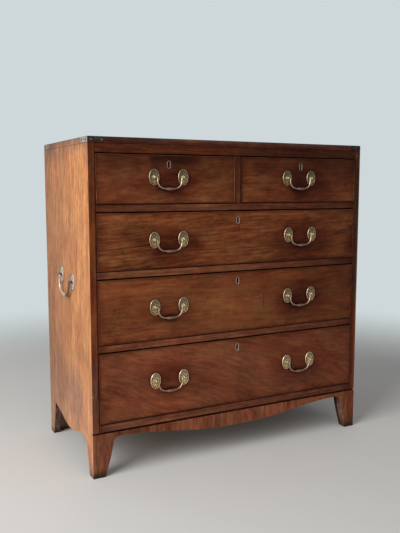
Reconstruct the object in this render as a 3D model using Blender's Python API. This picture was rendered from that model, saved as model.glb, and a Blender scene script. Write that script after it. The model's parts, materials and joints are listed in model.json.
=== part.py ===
"""Mahogany campaign chest: two short drawers over three long graduated ones, on bracket feet.

Metres, +Z up. The front faces -Y and the chest stands on z = 0, with its bounding box centred on x = y = 0.
Boards are butted, housed or dovetailed as a cabinet maker would. The carcass sides run down to the floor as
feet, dust boards slide in grooves, drawer sides lap-dovetail into the drawer fronts, and every bail swings in
the bored heads of two posts that are let into the wood.
"""
from math import copysign, cos, pi, radians, sin
from typing import NamedTuple

import bmesh
import bpy
from mathutils import Vector

# Clearances
SEAT = 0.0003  # between pieces that touch
OVERCUT = 0.001  # how far a cutter runs past the face it opens
RUN_SIDE = 0.0012  # drawer to carcass at each side
RUN_TOP = 0.0024  # drawer front to the rail above
RUN_BOTTOM = 0.0008  # drawer front to the rail below
RUN_BEHIND = 0.014  # drawer to the back panel
LINING_DROP = 0.006  # drawer sides below the rail above

# Carcass
WIDTH = 1.000
DEPTH = 0.470
SIDE_T = 0.0213
TOP_T = 0.0185
TOP_ROUND = 0.0015
TOP_RAIL_H = 0.0275
RAIL_DEPTH = 0.055
RAIL_H = 0.0228
DUST_T = 0.010
HOUSING = 0.006  # dust board into the side's groove
BOTTOM_RAIL_H = 0.0242
BOTTOM_T = 0.012
BACK_T = 0.012
BACK_REBATE = 0.010  # back panel into the side's rebate
DIVIDER_T = 0.0205

# Drawer openings, from the top row down
SHORT_OPENING_H = 0.150
UPPER_OPENING_H = 0.174
MIDDLE_OPENING_H = 0.198
LOWER_OPENING_H = 0.219

# Apron and front feet, as distances from the outer edge and heights above the floor
APRON_H = 0.1404
APRON_T = 0.019
APRON_GROOVE_H = 0.0050  # shadow line under the bottom rail
APRON_GROOVE_D = 0.006
APRON_TOE = 0.0385
APRON_SHIN = (0.058, 0.060)
APRON_ANKLE = (0.0665, 0.106)
APRON_CROOK = (0.0695, 0.122)
APRON_SHOULDER = (0.086, 0.122)
APRON_BOW_Z = 0.0895
APRON_FLAT = 0.080  # level middle of the bow
FOOT_BLOCK_T = 0.014  # block glued behind each front foot
FOOT_BLOCK_SHY = 0.0005  # block short of the foot's sawn edge

# Feet and cut-out of the carcass sides, in the same terms
SIDE_TOE = 0.035
SIDE_SHIN = (0.047, 0.045)
SIDE_ANKLE = (0.056, 0.080)
SIDE_CROOK = (0.060, 0.110)
SIDE_SHOULDER = (0.095, 0.110)
SIDE_BACK_CROOK = (0.060, 0.122)
SIDE_BACK_SHOULDER = (0.066, 0.122)
SIDE_BOW_Z = 0.087
SIDE_FLAT = 0.020

# Back feet, cut in one with the back panel
BACK_TOE = 0.088
BACK_HEEL = 0.112
BACK_ARCH = 0.132

# Drawers
FRONT_T = 0.020
BEAD_W = 0.003
BEAD_PROUD = 0.0015
LINING_T = 0.010
DRAWER_BACK_T = 0.010
DRAWER_BACK_DROP = 0.010
PANEL_T = 0.006
PANEL_LIFT = 0.007
PANEL_GROOVE = 0.005
TAIL_LENGTH = 0.014
TAIL_PITCH = 0.042
TAIL_SHARE = 0.62
TAIL_SLOPE = 1 / 6
KEYHOLE_W = 0.0125
KEYHOLE_H = 0.0245
KEYHOLE_DROP = 0.0314  # keyhole's middle below the top of the opening
KEYHOLE_DEPTH = 0.012

# Drawer handles
HANDLE_OFFSET = 0.2455  # handle's middle from the chest's middle
HANDLE_RISE = 0.0035  # post above the middle of the opening
RIGHT_HANDLE_SHIFT = -0.008  # the right short drawer's handle sits a little inboard
SHORT_HANDLE_LIFT = 0.0023  # the short drawers' posts sit a little higher
UPPER_HANDLE_LIFT = -0.0020  # and the upper long drawer's a little lower
HANDLE_SPACING = 0.097
HANDLE_DROP = 0.0352
HANDLE_PIVOT = 0.009
HANDLE_ROD_R = 0.0023
HANDLE_GRIP_R = 0.0052
HANDLE_GRIP = 0.021
HANDLE_PIN_R = 0.0016
HANDLE_HEAD_R = 0.0044
ROSE_W = 0.0345
ROSE_H = 0.050

# Lifting handles on the carcass sides
LIFT_BELOW = 0.434  # swing axis below the top of the chest
LIFT_FORWARD = 0.007  # handle's middle forward of the side's middle
LIFT_TILT = radians(6)  # the left handle is fitted askew, its front end low
LIFT_SPACING = 0.118
LIFT_DROP = 0.053
LIFT_PIVOT = 0.0105
LIFT_ROD_R = 0.0033
LIFT_GRIP_R = 0.0060
LIFT_GRIP = 0.024
LIFT_PIN_R = 0.0020
LIFT_HEAD_R = 0.0053
LIFT_ROSE_W = 0.046
LIFT_ROSE_H = 0.060

# Fittings shared by every handle
SHANK_R = 0.0025
SHANK_TAIL = 0.007  # drawer post past the inside of the drawer front
SHANK_SHORT = 0.004  # lifting post short of the inside of the carcass side
BORE_PLAY = 0.0005  # pin to the bore of the post head
BORE_PAST = 0.0018  # bore past the post's middle
PIN_PAST = 0.0010  # pin past the post's middle
BEND_R = 0.0032
BAIL_POWER = 0.68  # below 1, a bail is squarer than half an ellipse
RIM_T = 0.0016
RIM_PROUD = 0.0030
RIM_W = 0.0016
DISH_W = 0.0075
DISH_PROUD = 0.0015
NECK_R = 0.0030

# Brass corner straps, let in flush
STRAP_FRONT = 0.049
STRAP_SIDE = 0.060
STRAP_H = 0.017
STRAP_T = 0.0012

# Facets
ROUND_SIDES = 12
ROD_SIDES = 8
BORE_SIDES = 8
BAIL_STEPS = 18
CURVE_STEPS = 12
CORNER_STEPS = 6
SMOOTH_ANGLE = radians(38)

# Levels and reaches that follow from the sizes above
LOWER_FLOOR = APRON_H + BOTTOM_RAIL_H
MIDDLE_FLOOR = LOWER_FLOOR + LOWER_OPENING_H + RAIL_H
UPPER_FLOOR = MIDDLE_FLOOR + MIDDLE_OPENING_H + RAIL_H
SHORT_FLOOR = UPPER_FLOOR + UPPER_OPENING_H + RAIL_H
TOP_RAIL_Z = SHORT_FLOOR + SHORT_OPENING_H
TOP_UNDER = TOP_RAIL_Z + TOP_RAIL_H
HEIGHT = TOP_UNDER + TOP_T
LIFT_Z = HEIGHT - LIFT_BELOW
LIFT_Y = DEPTH / 2 - LIFT_FORWARD
INNER_HALF = WIDTH / 2 - SIDE_T
BACK_FRONT = DEPTH - BACK_T
FRONT_REACH = HANDLE_PIVOT + max(HANDLE_GRIP_R, HANDLE_HEAD_R)
FRONT_Y = -(DEPTH - FRONT_REACH) / 2


class Handle(NamedTuple):
    """Sizes of one pattern of bail handle."""

    spacing: float
    drop: float
    pivot: float
    rod_r: float
    grip_r: float
    grip: float
    pin_r: float
    head_r: float
    rose_w: float
    rose_h: float
    shank: float

    @property
    def arm(self):
        """Bail's half width, inside the two post heads."""
        return self.spacing / 2 - self.head_r - SEAT - BEND_R


DRAWER_HANDLE = Handle(HANDLE_SPACING, HANDLE_DROP, HANDLE_PIVOT, HANDLE_ROD_R, HANDLE_GRIP_R, HANDLE_GRIP,
                       HANDLE_PIN_R, HANDLE_HEAD_R, ROSE_W, ROSE_H, FRONT_T + SHANK_TAIL)
LIFT_HANDLE = Handle(LIFT_SPACING, LIFT_DROP, LIFT_PIVOT, LIFT_ROD_R, LIFT_GRIP_R, LIFT_GRIP,
                     LIFT_PIN_R, LIFT_HEAD_R, LIFT_ROSE_W, LIFT_ROSE_H, SIDE_T - SHANK_SHORT)


def finish(name, colour, roughness, metallic=0.0):
    """Make a plain Principled material."""
    material = bpy.data.materials.new(name)
    material.use_nodes = True
    shader = material.node_tree.nodes["Principled BSDF"]
    shader.inputs["Base Color"].default_value = (*colour, 1.0)
    shader.inputs["Roughness"].default_value = roughness
    shader.inputs["Metallic"].default_value = metallic
    return material


def loft(name, rings):
    """Skin one closed body over rings of equally many points, with both ends capped."""
    form = bmesh.new()
    loops = [[form.verts.new(point) for point in ring] for ring in rings]
    for near, far in zip(loops, loops[1:]):
        for i in range(len(near)):
            j = (i + 1) % len(near)
            form.faces.new((near[i], near[j], far[j], far[i]))
    form.faces.new(loops[0])
    form.faces.new(loops[-1])
    bmesh.ops.recalc_face_normals(form, faces=form.faces)
    mesh = bpy.data.meshes.new(name)
    form.to_mesh(mesh)
    form.free()
    return mesh


def prism(name, outline, axis, start, stop):
    """Extrude an outline along one axis; its points are (y, z), (x, z) or (x, y) for axis 0, 1 or 2."""
    rings = []
    for level in (start, stop):
        ring = []
        for point in outline:
            place = list(point)
            place.insert(axis, level)
            ring.append(place)
        rings.append(ring)
    return loft(name, rings)


def block(name, low, high):
    """Make a board with square edges between two corners."""
    outline = [(low[0], low[1]), (high[0], low[1]), (high[0], high[1]), (low[0], high[1])]
    return prism(name, outline, 2, low[2], high[2])


def gather(name, meshes):
    """Put several separate bodies into one mesh, to cut with all of them at once."""
    form = bmesh.new()
    for mesh in meshes:
        form.from_mesh(mesh)
        bpy.data.meshes.remove(mesh)
    merged = bpy.data.meshes.new(name)
    form.to_mesh(merged)
    form.free()
    return merged


def combine(mesh, tool, operation="DIFFERENCE"):
    """Cut a tool's body out of a mesh, or unite the two, and return the result."""
    body = bpy.data.objects.new("body", mesh)
    cutter = bpy.data.objects.new("cutter", tool)
    cutter.hide_render = True
    cutter.display_type = "WIRE"
    for piece in (body, cutter):
        bpy.context.collection.objects.link(piece)
    modifier = body.modifiers.new("combine", "BOOLEAN")
    modifier.operation = operation
    modifier.solver = "EXACT"
    modifier.object = cutter
    depsgraph = bpy.context.evaluated_depsgraph_get()
    result = bpy.data.meshes.new_from_object(body.evaluated_get(depsgraph))
    result.name = mesh.name
    for piece in (body, cutter):
        data = piece.data
        bpy.data.objects.remove(piece)
        bpy.data.meshes.remove(data)
    return result


def round_off(mesh):
    """Shade a turned or cast piece smooth, with its true edges kept sharp."""
    mesh.shade_smooth()
    mesh.set_sharp_from_angle(angle=SMOOTH_ANGLE)
    return mesh


def place(name, mesh, material, parent, location=(0.0, 0.0, 0.0)):
    """Add a named piece to the chest."""
    mesh.name = name
    mesh.materials.clear()
    mesh.materials.append(material)
    piece = bpy.data.objects.new(name, mesh)
    piece.location = location
    piece.parent = parent
    bpy.context.collection.objects.link(piece)
    return piece


def pivot(name, parent, location, turn=0.0, tilt=0.0):
    """Add an empty that carries the pieces of one sub-assembly."""
    empty = bpy.data.objects.new(name, None)
    empty.location = location
    empty.rotation_euler = (0.0, tilt, turn)
    empty.parent = parent
    bpy.context.collection.objects.link(empty)
    return empty


def bend(start, pull, stop, steps):
    """Points of a curve from start towards stop that leans to pull, without the start itself."""
    points = []
    for i in range(1, steps + 1):
        t = i / steps
        weights = ((1 - t) ** 2, 2 * t * (1 - t), t ** 2)
        points.append(tuple(sum(w * p[k] for w, p in zip(weights, (start, pull, stop))) for k in (0, 1)))
    return points


def ellipse(across, up, half_w, half_h, sides):
    """Outline of an oval about a middle point, with a point on each of its axes where the count allows."""
    turns = [2 * pi * i / sides for i in range(sides)]
    return [(across + half_w * cos(turn), up + half_h * sin(turn)) for turn in turns]


def slot(across, up, width, height, steps):
    """Outline of an upright slot with round ends."""
    radius = width / 2
    straight = height / 2 - radius
    points = []
    for i in range(2 * steps + 2):
        lower = i > steps
        turn = pi * (i - lower) / steps
        shift = -straight if lower else straight
        points.append((across + radius * cos(turn), up + radius * sin(turn) + shift))
    return points


def dust_levels():
    """Running level and thickness of each horizontal board that slides into the carcass sides."""
    levels = [(floor, DUST_T) for floor in (SHORT_FLOOR, UPPER_FLOOR, MIDDLE_FLOOR)]
    return levels + [(LOWER_FLOOR, BOTTOM_T)]


def lift_tilt(side):
    """How far a side's lifting handle tips its front end down."""
    return LIFT_TILT if side < 0 else 0.0


def lift_posts(side):
    """Where the two posts of a side's lifting handle enter it, as (y, z)."""
    reach = LIFT_SPACING / 2 * cos(lift_tilt(side))
    sink = LIFT_SPACING / 2 * sin(lift_tilt(side))
    return [(LIFT_Y - reach, LIFT_Z - sink), (LIFT_Y + reach, LIFT_Z + sink)]


def half_arch(toe, shin, ankle, crook, shoulder, bow, steep=False):
    """Inner edge of a foot and half the bowed edge beside it, from the toe to where the bow levels out.

    A steep bow slopes away from the foot at once, where any other leaves it level.
    """
    points = [(toe, 0.0)]
    points += bend(points[0], shin, ankle, CORNER_STEPS)
    points += bend(ankle, crook, shoulder, CORNER_STEPS)
    for i in range(1, CURVE_STEPS + 1):
        t = i / CURVE_STEPS
        ease = (1 - cos(pi * t)) / 2
        if steep:
            ease += (1 - t) * (t - ease)
        across = shoulder[0] + (bow[0] - shoulder[0]) * t
        points.append((across, shoulder[1] + (bow[1] - shoulder[1]) * ease))
    return points


def foot_block_meshes(edge):
    """Blocks glued behind the front feet, a little short of the feet's sawn edge and of the apron's top."""
    half = WIDTH / 2
    outer, top = SIDE_T + SEAT, APRON_H - SEAT - FOOT_BLOCK_SHY
    outline = [(outer, top), (outer, FOOT_BLOCK_SHY)]
    outline += [(u - FOOT_BLOCK_SHY, z + FOOT_BLOCK_SHY) for u, z in edge]
    outline.append((outline[-1][0], top))
    return [prism("foot_block", [(side * (half - u), z) for u, z in outline], 1, APRON_T / 2,
                  APRON_T + FOOT_BLOCK_T) for side in (-1, 1)]


def apron_mesh():
    """Front apron and bracket feet sawn from one board, with foot blocks and a shadow groove at the top."""
    half = WIDTH / 2
    bow = (half - APRON_FLAT / 2, APRON_BOW_Z)
    left = half_arch(APRON_TOE, APRON_SHIN, APRON_ANKLE, APRON_CROOK, APRON_SHOULDER, bow)
    top = APRON_H - SEAT
    outline = [(-half, top), (-half, 0.0)]
    outline += [(u - half, z) for u, z in left]
    outline += [(half - u, z) for u, z in reversed(left)]
    outline += [(half, 0.0), (half, top)]
    board = prism("apron", outline, 1, 0.0, APRON_T)
    groove = block("groove", (-half - OVERCUT, -OVERCUT, APRON_H - APRON_GROOVE_H),
                   (half + OVERCUT, APRON_GROOVE_D, APRON_H + OVERCUT))
    board = combine(board, groove)
    edge = [(u, z) for u, z in left if u <= APRON_SHOULDER[0]]
    return combine(board, gather("foot_blocks", foot_block_meshes(edge)), "UNION")


def side_mesh(side):
    """One carcass side, left (-1) or right (1): sawn feet, grooves for dust boards, rebate for the back."""
    bow = (DEPTH / 2 - SIDE_FLAT / 2, SIDE_BOW_Z)
    front = half_arch(SIDE_TOE, SIDE_SHIN, SIDE_ANKLE, SIDE_CROOK, SIDE_SHOULDER, bow)
    back = half_arch(SIDE_TOE, SIDE_SHIN, SIDE_ANKLE, SIDE_BACK_CROOK, SIDE_BACK_SHOULDER, bow, steep=True)
    notch = APRON_T + SEAT
    outline = [(0.0, TOP_UNDER - SEAT), (0.0, APRON_H), (notch, APRON_H), (notch, 0.0)]
    outline += front
    outline += [(DEPTH - y, z) for y, z in reversed(back)]
    outline += [(DEPTH, 0.0), (DEPTH, TOP_UNDER - SEAT)]
    board = prism("side", outline, 0, side * INNER_HALF, side * WIDTH / 2)
    reach = INNER_HALF + HOUSING + SEAT
    grooves = [block("groove", (-reach, RAIL_DEPTH - SEAT, top - thickness - SEAT),
                     (reach, BACK_FRONT + OVERCUT, top + SEAT)) for top, thickness in dust_levels()]
    board = combine(board, gather("grooves", grooves))
    reach = INNER_HALF + BACK_REBATE + SEAT
    rebate = block("rebate", (-reach, BACK_FRONT - SEAT, -OVERCUT),
                   (reach, DEPTH + OVERCUT, TOP_UNDER + OVERCUT))
    board = combine(board, rebate)
    inside, outside = side * (WIDTH / 2 - LIFT_HANDLE.shank - SEAT), side * (WIDTH / 2 + OVERCUT)
    hole_r = SHANK_R + SEAT
    holes = [prism("hole", ellipse(y, z, hole_r, hole_r, BORE_SIDES), 0, inside, outside)
             for y, z in lift_posts(side)]
    return combine(board, gather("holes", holes))


def back_mesh():
    """Back panel, its lower corners left long as the back feet."""
    half = INNER_HALF + BACK_REBATE
    toe, heel = half - BACK_TOE, half - BACK_HEEL
    outline = [(-half, TOP_UNDER - SEAT), (-half, 0.0), (-toe, 0.0), (-heel, BACK_ARCH)]
    outline += [(-x, z) for x, z in reversed(outline)]
    return prism("back_panel", outline, 1, BACK_FRONT, DEPTH)


def top_mesh():
    """Top board, with its upper edges just eased."""
    half = WIDTH / 2
    rings = []
    for z, inset in ((TOP_UNDER, 0.0), (HEIGHT - TOP_ROUND, 0.0), (HEIGHT, TOP_ROUND)):
        x, front, back = half - inset, inset, DEPTH - inset
        rings.append([(-x, front, z), (x, front, z), (x, back, z), (-x, back, z)])
    return loft("top_board", rings)


def shelf_mesh(top, rail_h, board_t):
    """Front rail with the dust board behind it, both level on top, the board tongued into the sides."""
    rail_half = INNER_HALF - SEAT
    rail = block("rail", (-rail_half, 0.0, top - rail_h), (rail_half, RAIL_DEPTH, top))
    board_half = INNER_HALF + HOUSING
    board = block("board", (-board_half, RAIL_DEPTH, top - board_t), (board_half, BACK_FRONT - SEAT, top))
    return combine(rail, board, "UNION")


def divider_mesh():
    """Upright between the short drawers, notched round the top rail."""
    low, high = SHORT_FLOOR + SEAT, TOP_UNDER - SEAT
    under, behind = TOP_RAIL_Z - SEAT, RAIL_DEPTH + SEAT
    outline = [(0.0, low), (BACK_FRONT - SEAT, low), (BACK_FRONT - SEAT, high)]
    outline += [(behind, high), (behind, under), (0.0, under)]
    return prism("centre_divider", outline, 0, -DIVIDER_T / 2, DIVIDER_T / 2)


def strap_outline(side, end, grow):
    """Plan of a corner strap; grow widens it into its own recess."""
    corner_y = 0.0 if end < 0 else DEPTH
    out, inward = grow and OVERCUT, -end
    half = WIDTH / 2
    x_out, x_in = half + out, half - STRAP_T - grow
    y_out, y_in = corner_y - inward * out, corner_y + inward * (STRAP_T + grow)
    x_end = half - STRAP_FRONT - grow
    y_end = corner_y + inward * (STRAP_SIDE + grow)
    plan = [(x_out, y_out), (x_end, y_out), (x_end, y_in), (x_in, y_in), (x_in, y_end), (x_out, y_end)]
    return [(side * x, y) for x, y in plan]


def strap_corners():
    """The four corners of the chest as (name, side, end)."""
    return [(f"{row}_{column}", side, end) for row, end in (("front", -1), ("back", 1))
            for column, side in (("left", -1), ("right", 1))]


def recess_straps(mesh):
    """Let the corner straps into a carcass piece."""
    recesses = [prism("recess", strap_outline(side, end, SEAT), 2, HEIGHT - STRAP_H - SEAT, HEIGHT + OVERCUT)
                for _, side, end in strap_corners()]
    return combine(mesh, gather("recesses", recesses))


def tail_places(low, high):
    """Middle height and half width at the shoulder of each dovetail on a drawer side."""
    count = max(2, round((high - low) / TAIL_PITCH))
    pitch = (high - low) / count
    return [(low + (i + 0.5) * pitch, TAIL_SHARE * pitch / 2) for i in range(count)]


def lining_outline(length, low, high):
    """Drawer side seen from its flat, with dovetails at the front end."""
    shoulder, tip = FRONT_T + SEAT, FRONT_T - TAIL_LENGTH
    points = [(length, high), (length, low), (shoulder, low)]
    for middle, half in tail_places(low, high):
        flare = half + (shoulder - tip) * TAIL_SLOPE
        points += [(shoulder, middle - half), (tip, middle - flare)]
        points += [(tip, middle + flare), (shoulder, middle + half)]
    return points + [(shoulder, high)]


def socket_meshes(half, low, high):
    """Cutters for the dovetail sockets at both ends of a drawer front."""
    shoulder, tip, mouth = FRONT_T + SEAT, FRONT_T - TAIL_LENGTH - SEAT, FRONT_T + OVERCUT
    sockets = []
    for middle, base in tail_places(low, high):
        narrow = base + SEAT + (shoulder - mouth) * TAIL_SLOPE
        wide = base + SEAT + (shoulder - tip) * TAIL_SLOPE
        outline = [(mouth, middle - narrow), (tip, middle - wide)]
        outline += [(tip, middle + wide), (mouth, middle + narrow)]
        for side in (-1, 1):
            inner, outer = side * (half - LINING_T - SEAT), side * (half + OVERCUT)
            sockets.append(prism("socket", outline, 0, inner, outer))
    return sockets


def panel_block(half, length, grow):
    """Drawer bottom, or with grow the groove that it slides in."""
    reach = half - LINING_T + PANEL_GROOVE + grow
    low = SEAT + PANEL_LIFT - grow
    front = FRONT_T - PANEL_GROOVE - grow
    back = length + (grow and OVERCUT)
    return block("bottom", (-reach, front, low), (reach, back, SEAT + PANEL_LIFT + PANEL_T + grow))


def front_mesh(half, opening_h, length, posts):
    """Drawer front with its cock bead, dovetail sockets, bottom groove, post holes and keyhole."""
    low, high = RUN_BOTTOM, opening_h - RUN_TOP
    rings = []
    for inset, y in ((0.0, FRONT_T), (0.0, -BEAD_PROUD / 3), (BEAD_W / 4, -BEAD_PROUD),
                     (BEAD_W * 3 / 4, -BEAD_PROUD), (BEAD_W, 0.0)):
        x, z0, z1 = half - inset, low + inset, high - inset
        rings.append([(-x, y, z0), (x, y, z0), (x, y, z1), (-x, y, z1)])
    board = loft("front", rings)
    board = combine(board, gather("sockets", socket_meshes(half, SEAT, opening_h - LINING_DROP)))
    board = combine(board, panel_block(half, length, SEAT))
    hole_r = SHANK_R + SEAT
    cuts = [prism("hole", ellipse(x, z, hole_r, hole_r, BORE_SIDES), 1, -OVERCUT, FRONT_T + OVERCUT)
            for x, z in posts]
    keyhole = slot(0.0, opening_h - KEYHOLE_DROP, KEYHOLE_W, KEYHOLE_H, CORNER_STEPS)
    cuts.append(prism("keyhole", keyhole, 1, -OVERCUT, KEYHOLE_DEPTH))
    return combine(board, gather("cuts", cuts))


def box_mesh(half, opening_h, length):
    """Drawer sides and back, grooved for the bottom, which slides in under the back."""
    low, high = SEAT, opening_h - LINING_DROP
    outline = lining_outline(length, low, high)
    inner = half - LINING_T
    frame = prism("box", outline, 0, -half, -inner)
    frame = combine(frame, prism("side", outline, 0, inner, half), "UNION")
    lap = LINING_T / 2
    back = block("back", (-inner - lap, length - DRAWER_BACK_T, low + PANEL_LIFT + PANEL_T + 2 * SEAT),
                 (inner + lap, length, high - DRAWER_BACK_DROP))
    frame = combine(frame, back, "UNION")
    return combine(frame, panel_block(half, length, SEAT))


def rose_mesh(handle, bore_side):
    """Oval rose with its post and shank; the post's head is bored on one side for the bail's pin."""
    half_w, half_h = handle.rose_w / 2, handle.rose_h / 2
    head = handle.pivot
    stages = [(SHANK_R, SHANK_R, handle.shank), (SHANK_R, SHANK_R, -SEAT), (half_w, half_h, -SEAT),
              (half_w, half_h, -RIM_T), (half_w - RIM_W, half_h - RIM_W, -RIM_PROUD),
              (half_w - DISH_W, half_h - DISH_W, -DISH_PROUD), (NECK_R, NECK_R, -RIM_PROUD)]
    waist = (handle.head_r ** 2 - NECK_R ** 2) ** 0.5
    stages.append((NECK_R, NECK_R, waist - head))
    for turn in (0.0, radians(45), radians(75)):
        radius = handle.head_r * cos(turn)
        stages.append((radius, radius, -head - handle.head_r * sin(turn)))
    rings = [[(x, y, z) for x, z in ellipse(0.0, 0.0, w, h, ROUND_SIDES)] for w, h, y in stages]
    bore_r = handle.pin_r + BORE_PLAY
    bore = prism("bore", ellipse(-head, 0.0, bore_r, bore_r, BORE_SIDES), 0,
                 bore_side * 2 * handle.head_r, -bore_side * BORE_PAST)
    return round_off(combine(loft("rose", rings), bore))


def bail_path(handle):
    """Middle line of a bail from its left pin to its right one, as (x, z, radius of the rod)."""
    end = handle.spacing / 2 + PIN_PAST
    path = [(-end, 0.0, handle.pin_r), (-handle.arm - BEND_R, 0.0, handle.pin_r)]
    half_bend = BEND_R * (1 - cos(pi / 4))
    path.append((-handle.arm - half_bend, -half_bend, (handle.pin_r + handle.rod_r) / 2))
    for i in range(BAIL_STEPS + 1):
        turn = pi * i / BAIL_STEPS
        x = -handle.arm * copysign(abs(cos(turn)) ** BAIL_POWER, cos(turn))
        swell = max(0.0, 1 - abs(x) / handle.grip)
        radius = handle.rod_r + (handle.grip_r - handle.rod_r) * swell ** 2 * (3 - 2 * swell)
        path.append((x, -BEND_R - (handle.drop - BEND_R) * abs(sin(turn)) ** BAIL_POWER, radius))
    path += [(-x, z, radius) for x, z, radius in reversed(path[:3])]
    return path


def bail_mesh(handle):
    """Bail: a swelling rod in a squarish bow, its ends turned outward as pins on the swing axis."""
    path = bail_path(handle)
    rings = []
    for i, (x, z, radius) in enumerate(path):
        before, after = path[max(i - 1, 0)], path[min(i + 1, len(path) - 1)]
        along = Vector((after[0] - before[0], 0.0, after[1] - before[1])).normalized()
        across = Vector((-along.z, 0.0, along.x))
        ring = []
        for side in range(ROD_SIDES):
            turn = 2 * pi * side / ROD_SIDES
            spoke = cos(turn) * Vector((0.0, 1.0, 0.0)) + sin(turn) * across
            ring.append(Vector((x, 0.0, z)) + radius * spoke)
        rings.append(ring)
    return round_off(loft("bail", rings))


def hang_handle(name, ends, meshes, handle, parent, across, up, brass):
    """Fix a pair of roses to the wood and hang their bail, whose origin is on the swing axis."""
    left, right, bail = meshes
    for end, way, mesh in zip(ends, (-1, 1), (left, right)):
        place(f"{name}_rose_{end}", mesh, brass, parent, (across + way * handle.spacing / 2, 0.0, up))
    place(f"{name}_bail", bail, brass, parent, (across, -handle.pivot, up))


def handle_meshes(handle):
    """Left rose, right rose and bail of one pattern of handle."""
    return rose_mesh(handle, 1), rose_mesh(handle, -1), bail_mesh(handle)


def drawer(name, chest, middle, floor, width, opening_h, lift, handles, meshes, finishes):
    """One drawer on its slide: front, box, bottom and handles, given as (name, x from the middle)."""
    mahogany, oak, brass = finishes
    slide = pivot(f"{name}_slide", chest, (middle, 0.0, floor))
    half = width / 2 - RUN_SIDE
    length = BACK_FRONT - RUN_BEHIND
    up = opening_h / 2 + HANDLE_RISE + lift
    posts = [(x + way * HANDLE_SPACING / 2, up) for _, x in handles for way in (-1, 1)]
    place(f"{name}_front", front_mesh(half, opening_h, length, posts), mahogany, slide)
    place(f"{name}_box", box_mesh(half, opening_h, length), oak, slide)
    place(f"{name}_bottom", panel_block(half, length, 0.0), oak, slide)
    for label, x in handles:
        hang_handle(label, ("left", "right"), meshes, DRAWER_HANDLE, slide, x, up, brass)


def carcass(chest, mahogany, pine):
    """The fixed case: sides, top, back, rails with dust boards, divider, bottom and apron."""
    for name, side in (("left_side", -1), ("right_side", 1)):
        place(name, recess_straps(side_mesh(side)), mahogany, chest)
    place("top_board", recess_straps(top_mesh()), mahogany, chest)
    place("back_panel", recess_straps(back_mesh()), pine, chest)
    top_rail = block("top_rail", (-INNER_HALF + SEAT, 0.0, TOP_RAIL_Z),
                     (INNER_HALF - SEAT, RAIL_DEPTH, TOP_UNDER - SEAT))
    place("top_rail", recess_straps(top_rail), mahogany, chest)
    place("centre_divider", divider_mesh(), mahogany, chest)
    for row, top in (("upper", SHORT_FLOOR), ("middle", UPPER_FLOOR), ("lower", MIDDLE_FLOOR)):
        place(f"{row}_blade", shelf_mesh(top, RAIL_H, DUST_T), mahogany, chest)
    place("bottom_board", shelf_mesh(LOWER_FLOOR, BOTTOM_RAIL_H, BOTTOM_T), mahogany, chest)
    place("apron", apron_mesh(), mahogany, chest)


def drawers(chest, finishes):
    """Two short drawers side by side and three long ones below, each with its handles."""
    meshes = handle_meshes(DRAWER_HANDLE)
    short_w = INNER_HALF - DIVIDER_T / 2
    short_x = (INNER_HALF + DIVIDER_T / 2) / 2
    for column, side, shift in (("left", -1, 0.0), ("right", 1, RIGHT_HANDLE_SHIFT)):
        name = f"top_{column}_drawer"
        handle_x = side * (HANDLE_OFFSET - short_x) + shift
        handles = [(name, handle_x)]
        drawer(name, chest, side * short_x, SHORT_FLOOR, short_w, SHORT_OPENING_H, SHORT_HANDLE_LIFT, handles,
               meshes, finishes)
    rows = (("upper", UPPER_FLOOR, UPPER_OPENING_H, UPPER_HANDLE_LIFT),
            ("middle", MIDDLE_FLOOR, MIDDLE_OPENING_H, 0.0), ("lower", LOWER_FLOOR, LOWER_OPENING_H, 0.0))
    for row, floor, opening_h, lift in rows:
        name = f"{row}_drawer"
        handles = [(f"{name}_left", -HANDLE_OFFSET), (f"{name}_right", HANDLE_OFFSET)]
        drawer(name, chest, 0.0, floor, 2 * INNER_HALF, opening_h, lift, handles, meshes, finishes)


def brass_fittings(chest, brass):
    """Lifting handles on both sides of the case, and the corner straps."""
    meshes = handle_meshes(LIFT_HANDLE)
    for column, side, ends in (("left", -1, ("back", "front")), ("right", 1, ("front", "back"))):
        spot = (side * WIDTH / 2, LIFT_Y, LIFT_Z)
        seat = pivot(f"{column}_lift_seat", chest, spot, side * pi / 2, lift_tilt(side))
        hang_handle(f"{column}_lift", ends, meshes, LIFT_HANDLE, seat, 0.0, 0.0, brass)
    for corner, side, end in strap_corners():
        strap = prism("strap", strap_outline(side, end, 0.0), 2, HEIGHT - STRAP_H, HEIGHT - TOP_ROUND)
        place(f"strap_{corner}", strap, brass, chest)


def main():
    """Clear the scene and build the chest under one empty on the line of its front."""
    for item in list(bpy.data.objects):
        bpy.data.objects.remove(item)
    mahogany = finish("mahogany", (0.16, 0.055, 0.025), 0.35)
    oak = finish("oak_lining", (0.42, 0.27, 0.14), 0.6)
    pine = finish("pine_back", (0.30, 0.18, 0.09), 0.7)
    brass = finish("aged_brass", (0.45, 0.36, 0.17), 0.35, 1.0)
    chest = pivot("chest", None, (0.0, FRONT_Y, 0.0))
    carcass(chest, mahogany, pine)
    drawers(chest, (mahogany, oak, brass))
    brass_fittings(chest, brass)


main()
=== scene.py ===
"""Looks of a mahogany campaign chest: faded and polished wood, dry oak linings and aged brass fittings.

Lengths are metres in the frame's own axes: +Z up, with the drawers facing -Y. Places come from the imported
frame, and what the frame doesn't hold is a named size here.
"""
import json
import logging
from dataclasses import dataclass, replace
from enum import Enum
from functools import lru_cache
from math import cos, pi, radians, sin
from typing import Callable, Iterable, Sequence

import bmesh
import bpy
from mathutils import Matrix, Vector

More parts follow.
